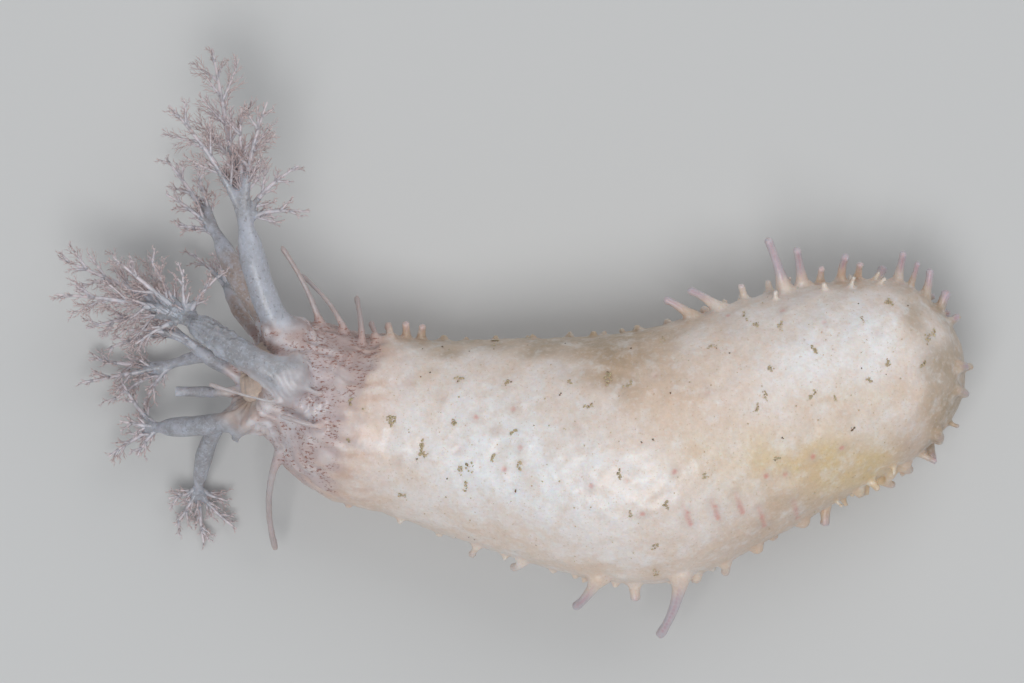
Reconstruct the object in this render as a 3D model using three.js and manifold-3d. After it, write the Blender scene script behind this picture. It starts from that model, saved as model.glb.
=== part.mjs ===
// A life-size sea cucumber of the tree-tentacled kind, lying on a flat floor as a still display model.
// Units are millimetres. +X runs from the mouth to the tail, +Y is the inner side of the body's bend, +Z is up.
// The origin is on the floor, in the middle of the belly flat that the animal rests on.
import * as THREE from "three";
import { mergeVertices } from "three/addons/utils/BufferGeometryUtils.js";
import Module from "manifold-3d";

const wasm = await Module();
wasm.setup();

// Driving dimensions of the body, one row per station from the mouth to the tail:
// x and y of the middle line, height of the middle line, half width, half height.
const STATIONS = [
  [-27.8, 6.0, 8.6, 3.7, 3.5],
  [-24.4, 4.9, 7.2, 5.2, 4.9],
  [-21.0, 2.9, 6.5, 6.5, 6.2],
  [-16.9, 1.8, 6.4, 6.8, 6.6],
  [-9.2, 0.5, 7.1, 8.15, 7.7],
  [-1.5, -0.5, 8.1, 9.4, 8.8],
  [2.3, -0.45, 8.25, 9.75, 9.0],
  [6.2, 0.8, 8.1, 9.35, 8.7],
  [13.9, 4.0, 7.4, 8.46, 8.0],
  [20.0, 5.9, 6.7, 7.4, 7.1],
  [26.6, 6.8, 6.3, 6.6, 6.2],
];
const MOUTH_X = -27.8;
const TAIL_ROUND_FROM = 20.0;
const TAIL_X = 26.6;
const SIDES_ROUND = 26;
const GAP = 0.3; // clearance that touching pieces keep

// Lengths that the body is divided into, from x to x, with the number of rings of each.
const LENGTHS = [
  { name: "introvert", from: MOUTH_X, to: -20.6, rings: 6, colour: 0xb9a6a0 },
  { name: "trunk_front", from: -20.6, to: -9.0, rings: 7, colour: 0xe9dccd },
  { name: "trunk_middle", from: -9.0, to: 7.0, rings: 9, colour: 0xede2d4 },
  { name: "trunk_rear", from: 7.0, to: 19.6, rings: 8, colour: 0xecdfc8 },
  { name: "tail_end", from: 19.6, to: TAIL_X, rings: 7, colour: 0xe6d8c6 },
];

// Tube feet: spacing, sizes and the zone that carries them.
const FOOT_SPACING = 3.0;
const FOOT_TRIES = 1600;
const FOOT_RADIUS = 0.36;
const FOOT_SIDES = 5;
const SHORTEST_FOOT = 0.65;
const FLANK_LIMIT = 0.985; // a root's largest share of the half width, so that it stays on the upper half
const FOOT_SINK = 0.7; // how deep a foot's root is sunk in the body wall
const FOOT_FROM_X = -19.6;
const FOOT_TO_X = 25.2;
const CUT_CLEARANCE = 1; // feet keep this far from a division of the body
const FLOOR_FOOT_HEIGHT = 0.8; // lower than this the body wall carries no feet
const LOWER_FLANK = 0.85; // length of the feet on the lower flanks, as a share of the longest
const BARE_ABOVE = [-0.42, 0.1]; // sine of the angle above which there are none, at the front and at the rear

// The feet that stand out far enough to have a place of their own: x and y of the root, where the tip
// is, and the radius. A root lies on the upper half of the body, at that place in plan.
const LONG_FEET = [
  { root: [-23.3, 9.8], tip: [-26.0, 15.6, 9.4], radius: 0.28 },
  { root: [-21.8, 9.4], tip: [-24.6, 13.5, 7.0], radius: 0.26 },
  { root: [-20.2, 8.5], tip: [-20.3, 11.8, 7.6], radius: 0.3 },
  { root: [-26.4, -0.2], tip: [-26.7, -7.8, 2.6], radius: 0.33 },
  { root: [-25.9, 3.9], tip: [-31.4, 5.1, 12.9], radius: 0.25 },
  { root: [-23.7, 4.7], tip: [-25.8, 5.6, 13.0], radius: 0.32 },
  { root: [-23.6, 2.3], tip: [-26.0, 2.7, 12.2], radius: 0.3 },
  { root: [-19.0, 8.4], tip: [-19.2, 9.8, 7.2], radius: 0.32 },
  { root: [-17.8, 8.4], tip: [-17.9, 9.7, 7.2], radius: 0.32 },
  { root: [-16.5, 8.4], tip: [-16.5, 9.8, 7.3], radius: 0.34 },
  { root: [-15.3, 8.4], tip: [-15.2, 9.6, 7.3], radius: 0.34 },
  { root: [5.4, 10.1], tip: [3.4, 11.6, 9.2], radius: 0.36 },
  { root: [7.4, 10.8], tip: [5.3, 12.3, 8.6], radius: 0.36 },
  { root: [9.6, 11.6], tip: [9.3, 12.7, 8.4], radius: 0.32 },
  { root: [12.2, 13.1], tip: [11.3, 16.2, 10.2], radius: 0.38 },
  { root: [13.8, 13.2], tip: [13.5, 15.4, 10.6], radius: 0.36 },
  { root: [15.4, 12.8], tip: [15.5, 14.0, 8.8], radius: 0.3 },
  { root: [16.9, 13.4], tip: [17.3, 14.9, 9.6], radius: 0.34 },
  { root: [18.3, 13.2], tip: [18.5, 14.3, 8.6], radius: 0.3 },
  { root: [21.3, 13.2], tip: [21.8, 15.2, 8.4], radius: 0.34 },
  { root: [22.3, 12.9], tip: [22.9, 14.4, 8.4], radius: 0.26 },
  { root: [23.4, 12.4], tip: [23.9, 13.9, 7.6], radius: 0.34 },
  { root: [24.5, 11.4], tip: [25.2, 12.2, 7.4], radius: 0.42 },
  { root: [25.3, 9.8], tip: [26.1, 10.3, 7.2], radius: 0.34 },
  { root: [25.8, 6.4], tip: [27.0, 6.4, 7.0], radius: 0.36 },
  { root: [25.6, 4.6], tip: [26.7, 4.3, 6.8], radius: 0.32 },
  { root: [24.0, 1.8], tip: [24.6, 0.7, 6.6], radius: 0.4 },
  { root: [21.6, -0.1], tip: [22.3, -1.5, 6.2], radius: 0.46 },
  { root: [20.6, -0.9], tip: [20.5, -2.6, 6.2], radius: 0.34 },
  { root: [17.8, -1.9], tip: [18.5, -3.4, 6.4], radius: 0.38 },
  { root: [13.2, -3.9], tip: [13.7, -5.2, 6.6], radius: 0.38 },
  { root: [9.9, -6.2], tip: [10.5, -7.5, 7.2], radius: 0.4 },
  { root: [7.7, -7.9], tip: [8.1, -9.4, 7.4], radius: 0.4 },
  { root: [5.4, -8.9], tip: [5.8, -9.9, 7.6], radius: 0.38 },
  { root: [3.2, -9.9], tip: [3.1, -14.3, 6.8], radius: 0.42 },
  { root: [1.1, -10.1], tip: [1.2, -11.5, 8.4], radius: 0.44 },
  { root: [-1.6, -9.8], tip: [-3.4, -12.1, 6.8], radius: 0.4 },
  { root: [-7.3, -7.9], tip: [-8.2, -9.1, 5.8], radius: 0.34 },
  { root: [-10.9, -6.8], tip: [-11.4, -8.1, 6.2], radius: 0.34 },
];

// The ring that carries the tentacles, and the oral disc inside it.
const RING_RADIUS = 3.35;
const DISC_RADIUS = 2.2;
const DISC_DOME = 1.1;
const MOUTH_RADIUS = 0.5;

// Each tentacle: place on the ring in degrees, stalk radii, where the stalk ends, and the crown's main
// branches as [bearing, length], the bearing being taken in plan, anticlockwise from +X.
const TENTACLES = [
  { ring: 18, base: 1.2, neck: 0.98, top: [-28.5, 16.3, 10.6], rise: 2,
    fan: [[101, 14.1], [80, 9.9], [14, 5.0], [122, 11.2], [50, 6.2], [92, 9.2]] },
  { ring: 340, base: 0.8, neck: 0.85, top: [-30.6, 15.6, 6.2], rise: -4,
    fan: [[124, 7.8], [140, 5.4], [108, 6.2], [164, 3.4]] },
  { ring: 85, base: 1.3, neck: 1.0, top: [-32.4, 9.6, 9.3], rise: -6,
    fan: [[155, 11.6], [169, 10.6], [184, 8.6], [141, 7.8], [124, 6.0], [57, 4.6], [202, 4.8], [99, 4.0]] },
  { ring: 258, base: 0.62, neck: 0.6, top: [-32.9, 8.0, 6.2], rise: -10,
    fan: [[187, 6.7], [172, 5.2], [134, 4.2]] },
  { ring: 238, base: 0.5, neck: 0.52, top: [-33.9, 4.5, 6.4], rise: 0, fan: [] },
  { ring: 188, base: 0.9, neck: 0.8, top: [-35.0, 1.7, 4.6], rise: -4,
    fan: [[131, 4.9], [171, 3.2], [209, 4.7], [230, 2.8]] },
  { ring: 214, base: 0.66, neck: 0.7, top: [-32.6, -2.2, 2.4], rise: -8,
    fan: [[274, 5.0], [240, 3.7], [310, 4.6], [204, 2.6], [330, 2.6]] },
  { ring: 150, base: 0.5, neck: 0.42, top: [-29.6, 0.9, 7.4], rise: 0, fan: [] },
  { ring: 284, base: 0.62, neck: 0.62, top: [-33.8, 6.9, 2.9], rise: -3,
    fan: [[177, 6.9], [192, 7.2], [211, 6.0], [233, 4.1]] },
  { ring: 311, base: 0.62, neck: 0.62, top: [-30.2, 12.0, 3.4], rise: -4,
    fan: [[136, 3.8], [100, 3.2], [60, 3.0]] },
];
const STALK_SIDES = 8;
const BRANCH_RADIUS = 0.42; // of a main branch at its root, in the solids
const TWIG_RADIUS = 0.27;
const TIP_SHARE = 0.45; // of the root's radius that is left at a tip
const TWIG_SPACING = 2.3;
const TWIG_SHARE = 0.4; // of its branch's length that the longest twig has
const LOWEST_TWIG = 0.45; // height that the middle of a branch keeps above the floor

const Z = new THREE.Vector3(0, 0, 1);
const radians = THREE.MathUtils.degToRad;

// A seeded random number from 0 to 1 at each call.
function seeded(seed) {
  let state = seed >>> 0;
  return () => {
    state = (state + 0x6d2b79f5) >>> 0;
    let t = state;
    t = Math.imul(t ^ (t >>> 15), t | 1);
    t ^= t + Math.imul(t ^ (t >>> 7), t | 61);
    return ((t ^ (t >>> 14)) >>> 0) / 4294967296;
  };
}

function solidOf(geometry) {
  const plain = new THREE.BufferGeometry();
  plain.setAttribute("position", geometry.getAttribute("position").clone());
  if (geometry.index) plain.setIndex(geometry.index.clone());
  const merged = mergeVertices(plain, 1e-4);
  const mesh = new wasm.Mesh({
    numProp: 3,
    vertProperties: new Float32Array(merged.attributes.position.array),
    triVerts: new Uint32Array(merged.index.array),
  });
  return new wasm.Manifold(mesh);
}

function geometryOf(solid) {
  const mesh = solid.getMesh();
  const geometry = new THREE.BufferGeometry();
  geometry.setAttribute("position", new THREE.BufferAttribute(new Float32Array(mesh.vertProperties), 3));
  geometry.setIndex(new THREE.BufferAttribute(new Uint32Array(mesh.triVerts), 1));
  geometry.computeVertexNormals();
  return geometry;
}

function largest(solid) {
  return solid.decompose().reduce((best, one) => (one.volume() > best.volume() ? one : best));
}

// Everything under the floor is cut away, which leaves the flats that the animal rests on.
function onFloor(solid) {
  return solid.trimByPlane([0, 0, 1], 0);
}

// A closed skin through rings of points, each ring with the same number of points, anticlockwise
// seen against the way the rings run. The ends are closed flat.
function loft(rings) {
  const sides = rings[0].length;
  const last = (rings.length - 1) * sides;
  const faces = [];
  rings.slice(1).forEach((_, k) => {
    for (let i = 0; i < sides; i++) {
      const a = k * sides + i;
      const b = k * sides + ((i + 1) % sides);
      faces.push(a, b, b + sides, a, b + sides, a + sides);
    }
  });
  for (let i = 1; i < sides - 1; i++) faces.push(0, i + 1, i, last, last + i, last + i + 1);
  const geometry = new THREE.BufferGeometry().setFromPoints(rings.flat());
  geometry.setIndex(faces);
  const solid = solidOf(geometry);
  if (solid.volume() > 0) return solid;
  geometry.setIndex(faces.toReversed());
  return solidOf(geometry);
}

// A round tube through points, with a radius at each one.
function tube(path, radii, sides) {
  let across = new THREE.Vector3();
  const rings = path.map((p, k) => {
    const before = path[Math.max(k - 1, 0)];
    const after = path[Math.min(k + 1, path.length - 1)];
    const along = after.clone().sub(before).normalize();
    if (k === 0) across = Math.abs(along.z) < 0.9 ? Z.clone() : new THREE.Vector3(1, 0, 0);
    across.addScaledVector(along, -across.dot(along)).normalize();
    const other = along.clone().cross(across);
    return Array.from({ length: sides }, (_, i) => {
      const turn = (2 * Math.PI * i) / sides;
      return p
        .clone()
        .addScaledVector(across, Math.cos(turn) * radii[k])
        .addScaledVector(other, Math.sin(turn) * radii[k]);
    });
  });
  return loft(rings);
}

// Body values at x by a cubic through the stations: each station's slope is that of its neighbours' chord.
function bodyAt(x) {
  const last = STATIONS.length - 1;
  let i = 0;
  while (i < last - 1 && x > STATIONS[i + 1][0]) i++;
  const slope = (k, c) => {
    const a = STATIONS[Math.max(k - 1, 0)];
    const b = STATIONS[Math.min(k + 1, last)];
    return (b[c] - a[c]) / (b[0] - a[0]);
  };
  const [p, q] = [STATIONS[i], STATIONS[i + 1]];
  const span = q[0] - p[0];
  const t = (x - p[0]) / span;
  const value = (c) =>
    (2 * t ** 3 - 3 * t ** 2 + 1) * p[c] +
    (t ** 3 - 2 * t ** 2 + t) * span * slope(i, c) +
    (3 * t ** 2 - 2 * t ** 3) * q[c] +
    (t ** 3 - t ** 2) * span * slope(i + 1, c);
  const rounding = Math.max(0, (x - TAIL_ROUND_FROM) / (TAIL_X - TAIL_ROUND_FROM));
  const left = Math.sqrt(Math.max(0, 1 - rounding ** 2));
  return { middle: new THREE.Vector3(x, value(1), value(2)), wide: value(3) * left, high: value(4) * left };
}

// Middle, half sizes and the three directions of the body's section at x.
function sectionAt(x) {
  const step = 0.05;
  const here = bodyAt(x);
  const ahead = bodyAt(Math.min(x + step, TAIL_X)).middle;
  const behind = bodyAt(x - step).middle;
  const along = ahead.sub(behind).normalize();
  const side = Z.clone().cross(along).normalize();
  const up = along.clone().cross(side);
  return { ...here, along, side, up };
}

// Point and outward direction on the body at x and an angle round it, in degrees.
function bodySurface(x, round, grow = 0) {
  const s = sectionAt(x);
  const [c, n] = [Math.cos(radians(round)), Math.sin(radians(round))];
  const point = s.middle
    .clone()
    .addScaledVector(s.side, c * (s.wide + grow))
    .addScaledVector(s.up, n * (s.high + grow));
  const out = s.side
    .clone()
    .multiplyScalar(c / Math.max(s.wide, 0.5))
    .addScaledVector(s.up, n / Math.max(s.high, 0.5))
    .normalize();
  const taper = (sectionAt(Math.min(x + 0.3, TAIL_X)).wide - sectionAt(x - 0.3).wide) / 0.6;
  out.addScaledVector(s.along, -taper).normalize();
  return { point, out, along: s.along };
}

function bodyLength({ from, to, rings }, grow = 0) {
  const start = from === MOUTH_X ? from - grow : from + GAP / 2;
  const roundEnd = to === TAIL_X;
  const end = roundEnd ? to - 0.02 : to - GAP / 2;
  const made = Array.from({ length: rings }, (_, k) => {
    const share = k / (rings - 1);
    const x = roundEnd
      ? start + (end - start) * Math.sin((share * Math.PI) / 2)
      : start + (end - start) * share;
    return Array.from({ length: SIDES_ROUND }, (_, i) => bodySurface(x, (360 * i) / SIDES_ROUND, grow).point);
  });
  return loft(made);
}

// The body's x and angle at a place in plan, on its upper half.
function upperPlace([px, py]) {
  let x = px;
  for (let k = 0; k < 12; k++) {
    const s = sectionAt(x);
    x += (px - s.middle.x) * s.along.x + (py - s.middle.y) * s.along.y;
  }
  const s = sectionAt(x);
  const offset = (px - s.middle.x) * s.side.x + (py - s.middle.y) * s.side.y;
  const share = THREE.MathUtils.clamp(offset / s.wide, -FLANK_LIMIT, FLANK_LIMIT);
  return { x, round: THREE.MathUtils.radToDeg(Math.acos(share)) };
}

// A tube foot: a flared root sunk in the body, a slim stem that bends to its tip, and a small sucker there.
function foot({ x, round, radius, tip }, sides, grow) {
  const { point, out } = bodySurface(x, round);
  const end = new THREE.Vector3(...tip);
  const length = point.distanceTo(end);
  const sunk = point.clone().addScaledVector(out, -FOOT_SINK);
  const bend = point.clone().lerp(end, 0.3).addScaledVector(out, length * 0.2);
  const stem = new THREE.QuadraticBezierCurve3(point, bend, end);
  const shares = length > 2.5 ? [0, 0.22, 0.6, 1] : [0, 0.35, 1];
  const widths = length > 2.5 ? [1.9, 1.7, 1.1, 0.9, 0.95] : [1.9, 1.7, 1.1, 0.95];
  const path = [sunk, ...shares.map((share) => stem.getPoint(share))];
  return tube(path, widths.map((k) => k * radius + grow), sides);
}

const longFeet = LONG_FEET.map(({ root, tip, radius }) => ({ ...upperPlace(root), tip, radius }));

// The short feet are spread by seeded tries that keep their distance. They are drawn in on the upper
// side, so there are none there, and they are longer along both flanks and round the tail.
function shortFeet() {
  const random = seeded(11);
  const spread = [];
  const taken = longFeet.map(({ x, round }) => bodySurface(x, round).point);
  for (let k = 0; k < FOOT_TRIES; k++) {
    const x = FOOT_FROM_X + (FOOT_TO_X - FOOT_FROM_X) * random();
    const round = 360 * random();
    const [draw, size, lean] = [random(), random(), random() - 0.5];
    const { point, out, along } = bodySurface(x, round);
    const [flank, height] = [Math.cos(radians(round)) ** 2, Math.sin(radians(round))];
    const rear = THREE.MathUtils.smoothstep(x, 6, 16);
    const length = (height < 0 ? LOWER_FLANK : flank) * (0.5 + draw * (0.7 + 0.9 * rear));
    if (height > THREE.MathUtils.lerp(...BARE_ABOVE, rear)) continue;
    if (length < SHORTEST_FOOT || point.z < FLOOR_FOOT_HEIGHT) continue;
    if (LENGTHS.some(({ to }) => Math.abs(x - to) < CUT_CLEARANCE && to < TAIL_X)) continue;
    if (taken.some((p) => p.distanceTo(point) < FOOT_SPACING)) continue;
    taken.push(point);
    const way = out.clone().addScaledVector(along, lean);
    const tip = point.clone().addScaledVector(way, length).toArray();
    spread.push({ x, round, radius: FOOT_RADIUS * (0.85 + 0.4 * size), tip });
  }
  return spread;
}

const feet = [...longFeet, ...shortFeet()];

function bodyNode(part, grow = 0) {
  const pieces = [bodyLength(part, grow)];
  feet
    .filter(({ x }) => x > part.from && x <= part.to)
    .forEach((one) => pieces.push(foot(one, FOOT_SIDES, grow)));
  return wasm.Manifold.union(pieces);
}

// The mouth end's plane: centre, two directions across it and the one that it faces.
function ringFrame() {
  const s = sectionAt(MOUTH_X);
  return { centre: s.middle, side: s.side, up: s.up, out: s.along.clone().negate() };
}

function oralDisc() {
  const { centre, side, up, out } = ringFrame();
  const profile = [
    [0, GAP],
    [DISC_RADIUS, GAP],
    [DISC_RADIUS * 0.96, GAP + 0.4],
    [DISC_RADIUS * 0.62, DISC_DOME * 0.95],
    [MOUTH_RADIUS * 1.5, DISC_DOME],
    [MOUTH_RADIUS, DISC_DOME * 0.6],
    [0, DISC_DOME * 0.3],
  ].map(([r, y]) => new THREE.Vector2(r, y));
  const geometry = new THREE.LatheGeometry(profile, 16);
  const turn = new THREE.Matrix4().makeBasis(up, out, side).setPosition(centre);
  geometry.applyMatrix4(turn);
  const solid = solidOf(geometry);
  if (solid.volume() > 0) return solid;
  geometry.setIndex(Array.from(geometry.index.array).toReversed());
  return solidOf(geometry);
}

// The stalk's middle line: a curve from the ring, first outwards, then towards the crown.
function stalkCurve({ ring, top }) {
  const { centre, side, up, out } = ringFrame();
  const radial = side
    .clone()
    .multiplyScalar(Math.cos(radians(ring)))
    .addScaledVector(up, Math.sin(radians(ring)));
  const root = centre.clone().addScaledVector(radial, RING_RADIUS).addScaledVector(out, -0.9);
  const end = new THREE.Vector3(...top);
  const reach = root.distanceTo(end);
  const bend = root.clone().addScaledVector(out, reach * 0.34).addScaledVector(radial, reach * 0.22);
  return new THREE.QuadraticBezierCurve3(root, bend, end);
}

function stalk(tentacle, grow = 0) {
  const points = stalkCurve(tentacle).getSpacedPoints(5);
  const radii = points.map((_, k) => {
    const share = k / (points.length - 1);
    const flare = 0.35 * Math.max(0, 1 - share * 3.5) ** 2;
    return THREE.MathUtils.lerp(tentacle.base, tentacle.neck, share) * (1 + flare) + grow;
  });
  return tube(points, radii, STALK_SIDES);
}

// Branches of a crown as curves with their root radius: the main ones, then the twigs along each.
function crownBranches(tentacle, number) {
  const random = seeded(100 + number);
  const line = stalkCurve(tentacle);
  const axis = line.getTangent(1);
  const start = line.getPoint(1).addScaledVector(axis, GAP + 0.5);
  const branches = [];
  tentacle.fan.forEach(([bearing, length], k) => {
    const pitch = radians(tentacle.rise + (k % 2 ? 9 : -6) + 8 * (random() - 0.5));
    const way = new THREE.Vector3(
      Math.cos(radians(bearing)) * Math.cos(pitch),
      Math.sin(radians(bearing)) * Math.cos(pitch),
      Math.sin(pitch),
    );
    const end = start.clone().addScaledVector(way, length);
    end.z = Math.max(end.z, LOWEST_TWIG);
    const bend = start.clone().addScaledVector(axis, length * 0.3).addScaledVector(way, length * 0.12);
    bend.z = Math.max(bend.z, LOWEST_TWIG);
    const curve = new THREE.QuadraticBezierCurve3(start, bend, end);
    branches.push({ curve, radius: BRANCH_RADIUS, steps: length > 6 ? 4 : 3, sides: 5 });
    const count = Math.max(2, Math.round(length / TWIG_SPACING));
    for (let j = 0; j < count; j++) {
      const at = 0.24 + (0.66 * (j + 0.3 + 0.4 * random())) / count;
      const hand = j % 2 ? 1 : -1;
      const angle = radians(36 + 22 * random()) * hand;
      const roll = radians(70 * (random() - 0.5));
      const tangent = curve.getTangent(at);
      const root = curve.getPoint(at);
      const hinge = Z.clone().applyAxisAngle(tangent, roll);
      const twigWay = tangent.clone().applyAxisAngle(hinge, angle);
      const twigLength = Math.max(1.1, length * TWIG_SHARE * (1.05 - 0.75 * at) * (0.8 + 0.4 * random()));
      const tip = root.clone().addScaledVector(twigWay, twigLength).addScaledVector(tangent, twigLength * 0.2);
      tip.z = Math.max(tip.z, LOWEST_TWIG * 0.7);
      const middle = root.clone().addScaledVector(twigWay, twigLength * 0.5);
      middle.z = Math.max(middle.z, LOWEST_TWIG * 0.8);
      branches.push({
        curve: new THREE.QuadraticBezierCurve3(root, middle, tip),
        radius: TWIG_RADIUS,
        steps: 1,
        sides: 4,
      });
    }
  });
  return { start, axis, branches };
}

function crown(tentacle, number, grow = 0) {
  const { start, axis, branches } = crownBranches(tentacle, number);
  const foot = start.clone().addScaledVector(axis, -0.5);
  const head = start.clone().addScaledVector(axis, 0.9);
  const neck = tentacle.neck;
  const pieces = [tube([foot, start, head], [neck + grow, neck * 0.98 + grow, neck * 0.55 + grow], STALK_SIDES)];
  branches.forEach(({ curve, radius, steps, sides }) => {
    const points = curve.getPoints(steps);
    const radii = points.map((_, k) => radius * (1 - (1 - TIP_SHARE) * (k / steps)) + grow);
    pieces.push(tube(points, radii, sides));
  });
  return wasm.Manifold.union(pieces);
}

// A contracted tentacle has only blunt lobes at its end.
function bluntTentacle(tentacle, grow = 0) {
  const line = stalkCurve(tentacle);
  const [end, axis] = [line.getPoint(1), line.getTangent(1)];
  const across = Z.clone().cross(axis).normalize();
  const pieces = [stalk(tentacle, grow)];
  [-1, 0, 1].forEach((hand) => {
    const tip = end.clone().addScaledVector(axis, 0.55).addScaledVector(across, hand * 0.4);
    const root = end.clone().addScaledVector(axis, -0.5);
    pieces.push(tube([root, tip], [tentacle.neck * 0.6 + grow, tentacle.neck * 0.5 + grow], 6));
  });
  return wasm.Manifold.union(pieces);
}

const part = new THREE.Group();
const placed = []; // every solid so far, each with the larger one that its neighbours are cut clear of

function add(name, solid, larger, colour, roughness) {
  let clear = solid;
  placed.forEach((other) => {
    if (clear.minGap(other.solid, GAP) < GAP * 0.9) clear = clear.subtract(other.larger);
  });
  const made = largest(onFloor(clear));
  placed.push({ solid: made, larger });
  const material = new THREE.MeshStandardMaterial({ color: colour, roughness, metalness: 0 });
  const mesh = new THREE.Mesh(geometryOf(made), material);
  mesh.name = name;
  part.add(mesh);
}

LENGTHS.forEach((length) => {
  add(length.name, bodyNode(length), bodyNode(length, GAP), length.colour, 0.5);
});
add("oral_disc", oralDisc(), oralDisc(), 0xb39a80, 0.55);
TENTACLES.forEach((tentacle, k) => {
  const name = "tentacle_" + String(k + 1).padStart(2, "0");
  if (!tentacle.fan.length) {
    add(name, bluntTentacle(tentacle), bluntTentacle(tentacle, GAP), 0x9aa0ab, 0.45);
    return;
  }
  add(name + "_stalk", stalk(tentacle), stalk(tentacle, GAP), 0x98a0b0, 0.45);
  add(name + "_crown", crown(tentacle, k), crown(tentacle, k, GAP), 0x8d7468, 0.6);
});

export default part;
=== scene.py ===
"""Looks of a life-size sea cucumber model, lying on its belly with its feeding tentacles spread.

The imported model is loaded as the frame, and the pieces here dress it. One skin covers the trunk, the
introvert (the narrow front part that draws in), every tube foot and the tentacle stalks, and each
branched crown is a piece of its own. Lengths in the code are millimetres up to the last step, which
writes each mesh in metres.
"""
import math

import bpy
import numpy as np
from bpy.props import FloatProperty, FloatVectorProperty, IntProperty, PointerProperty
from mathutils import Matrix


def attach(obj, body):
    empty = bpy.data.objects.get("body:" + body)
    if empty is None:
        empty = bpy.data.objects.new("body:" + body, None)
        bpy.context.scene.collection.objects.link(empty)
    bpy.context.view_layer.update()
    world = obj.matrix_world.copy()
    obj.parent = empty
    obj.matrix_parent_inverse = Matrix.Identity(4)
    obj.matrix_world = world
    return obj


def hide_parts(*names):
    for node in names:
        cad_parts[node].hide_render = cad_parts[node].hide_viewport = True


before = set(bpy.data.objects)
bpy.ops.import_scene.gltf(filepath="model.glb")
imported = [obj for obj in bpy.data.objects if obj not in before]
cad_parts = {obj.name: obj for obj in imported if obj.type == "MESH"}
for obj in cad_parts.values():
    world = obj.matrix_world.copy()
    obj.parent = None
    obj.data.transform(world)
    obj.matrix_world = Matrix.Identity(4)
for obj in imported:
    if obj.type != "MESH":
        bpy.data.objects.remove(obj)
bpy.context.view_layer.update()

bl_info = {
    "name": "Sea cucumber model",
    "version": (1, 0, 0),
    "blender": (4, 5, 0),
    "location": "View3D > Sidebar > Sea cucumber",
    "description": "Builds the looks of a life-size sea cucumber model",
    "category": "Object",
}

MM = 0.001
UP = np.array([0.0, 0.0, 1.0])

# Body stations from the mouth to the tail: x, y and height of the middle line, half width, half height.
STATIONS = np.array([
    [-27.8, 6.0, 8.6, 3.7, 3.5],
    [-24.4, 4.9, 7.2, 5.2, 4.9],
    [-21.0, 2.9, 6.5, 6.5, 6.2],
    [-16.9, 1.8, 6.4, 6.8, 6.6],
    [-9.2, 0.5, 7.1, 8.15, 7.7],
    [-1.5, -0.5, 8.1, 9.4, 8.8],
    [2.3, -0.45, 8.25, 9.75, 9.0],
    [6.2, 0.8, 8.1, 9.35, 8.7],
    [13.9, 4.0, 7.4, 8.46, 8.0],
    [20.0, 5.9, 6.7, 7.4, 7.1],
    [26.6, 6.8, 6.3, 6.6, 6.2],
])
MOUTH_X = -27.8
MOUTH_RIM = (-29.0, 4.6, 9.0)  # the middle of the beige skin beside the mouth
SHINY_FOLDS = (-26.0, 5.4, 12.2)  # the middle of the wet wrinkles above the mouth, painted white as a highlight
FOLD_PITCH = 0.42  # from one of these wrinkles to the next
TAIL_ROUND_FROM = 20.0
TAIL_X = 26.6
COLLAR_X = -20.4  # where the thick body wall ends and the introvert comes out of it
TRUNK_NODES = ("introvert", "trunk_front", "trunk_middle", "trunk_rear", "tail_end")
CUTS = (-20.6, -9.0, 7.0, 19.6)

# Tube feet, spread as in the solids.
FOOT_SPACING = 3.0
FOOT_TRIES = 1600
FOOT_RADIUS = 0.36
SHORTEST_FOOT = 0.65
FOOT_SINK = 0.7
FOOT_FROM_X = -19.6
FOOT_TO_X = 25.2
CUT_CLEARANCE = 1.0
FLOOR_FOOT_HEIGHT = 0.8
LOWER_FLANK = 0.85  # length share of the short feet below the body's middle line
BARE_ABOVE = (-0.42, 0.1)  # sine of the angle above which no short foot stands, in front and at the rear
FLANK_LIMIT = 0.985  # places in plan count as at most this share of the half width
STEEP_REACH = 1.9  # a foot whose tip is nearer than this to its root in plan hangs down steeply
TENT_REACH = 1.7  # a foot that reaches further than this in plan begins to have a root like a tent
LONG_REACH = 2.7  # from this reach on the tent is at its widest and the foot isn't steep at all
FOOT_BEND_ALONG = 0.3  # where a foot's curve bends, as shares of its length along and outward
FOOT_BEND_OUT = 0.2

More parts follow.
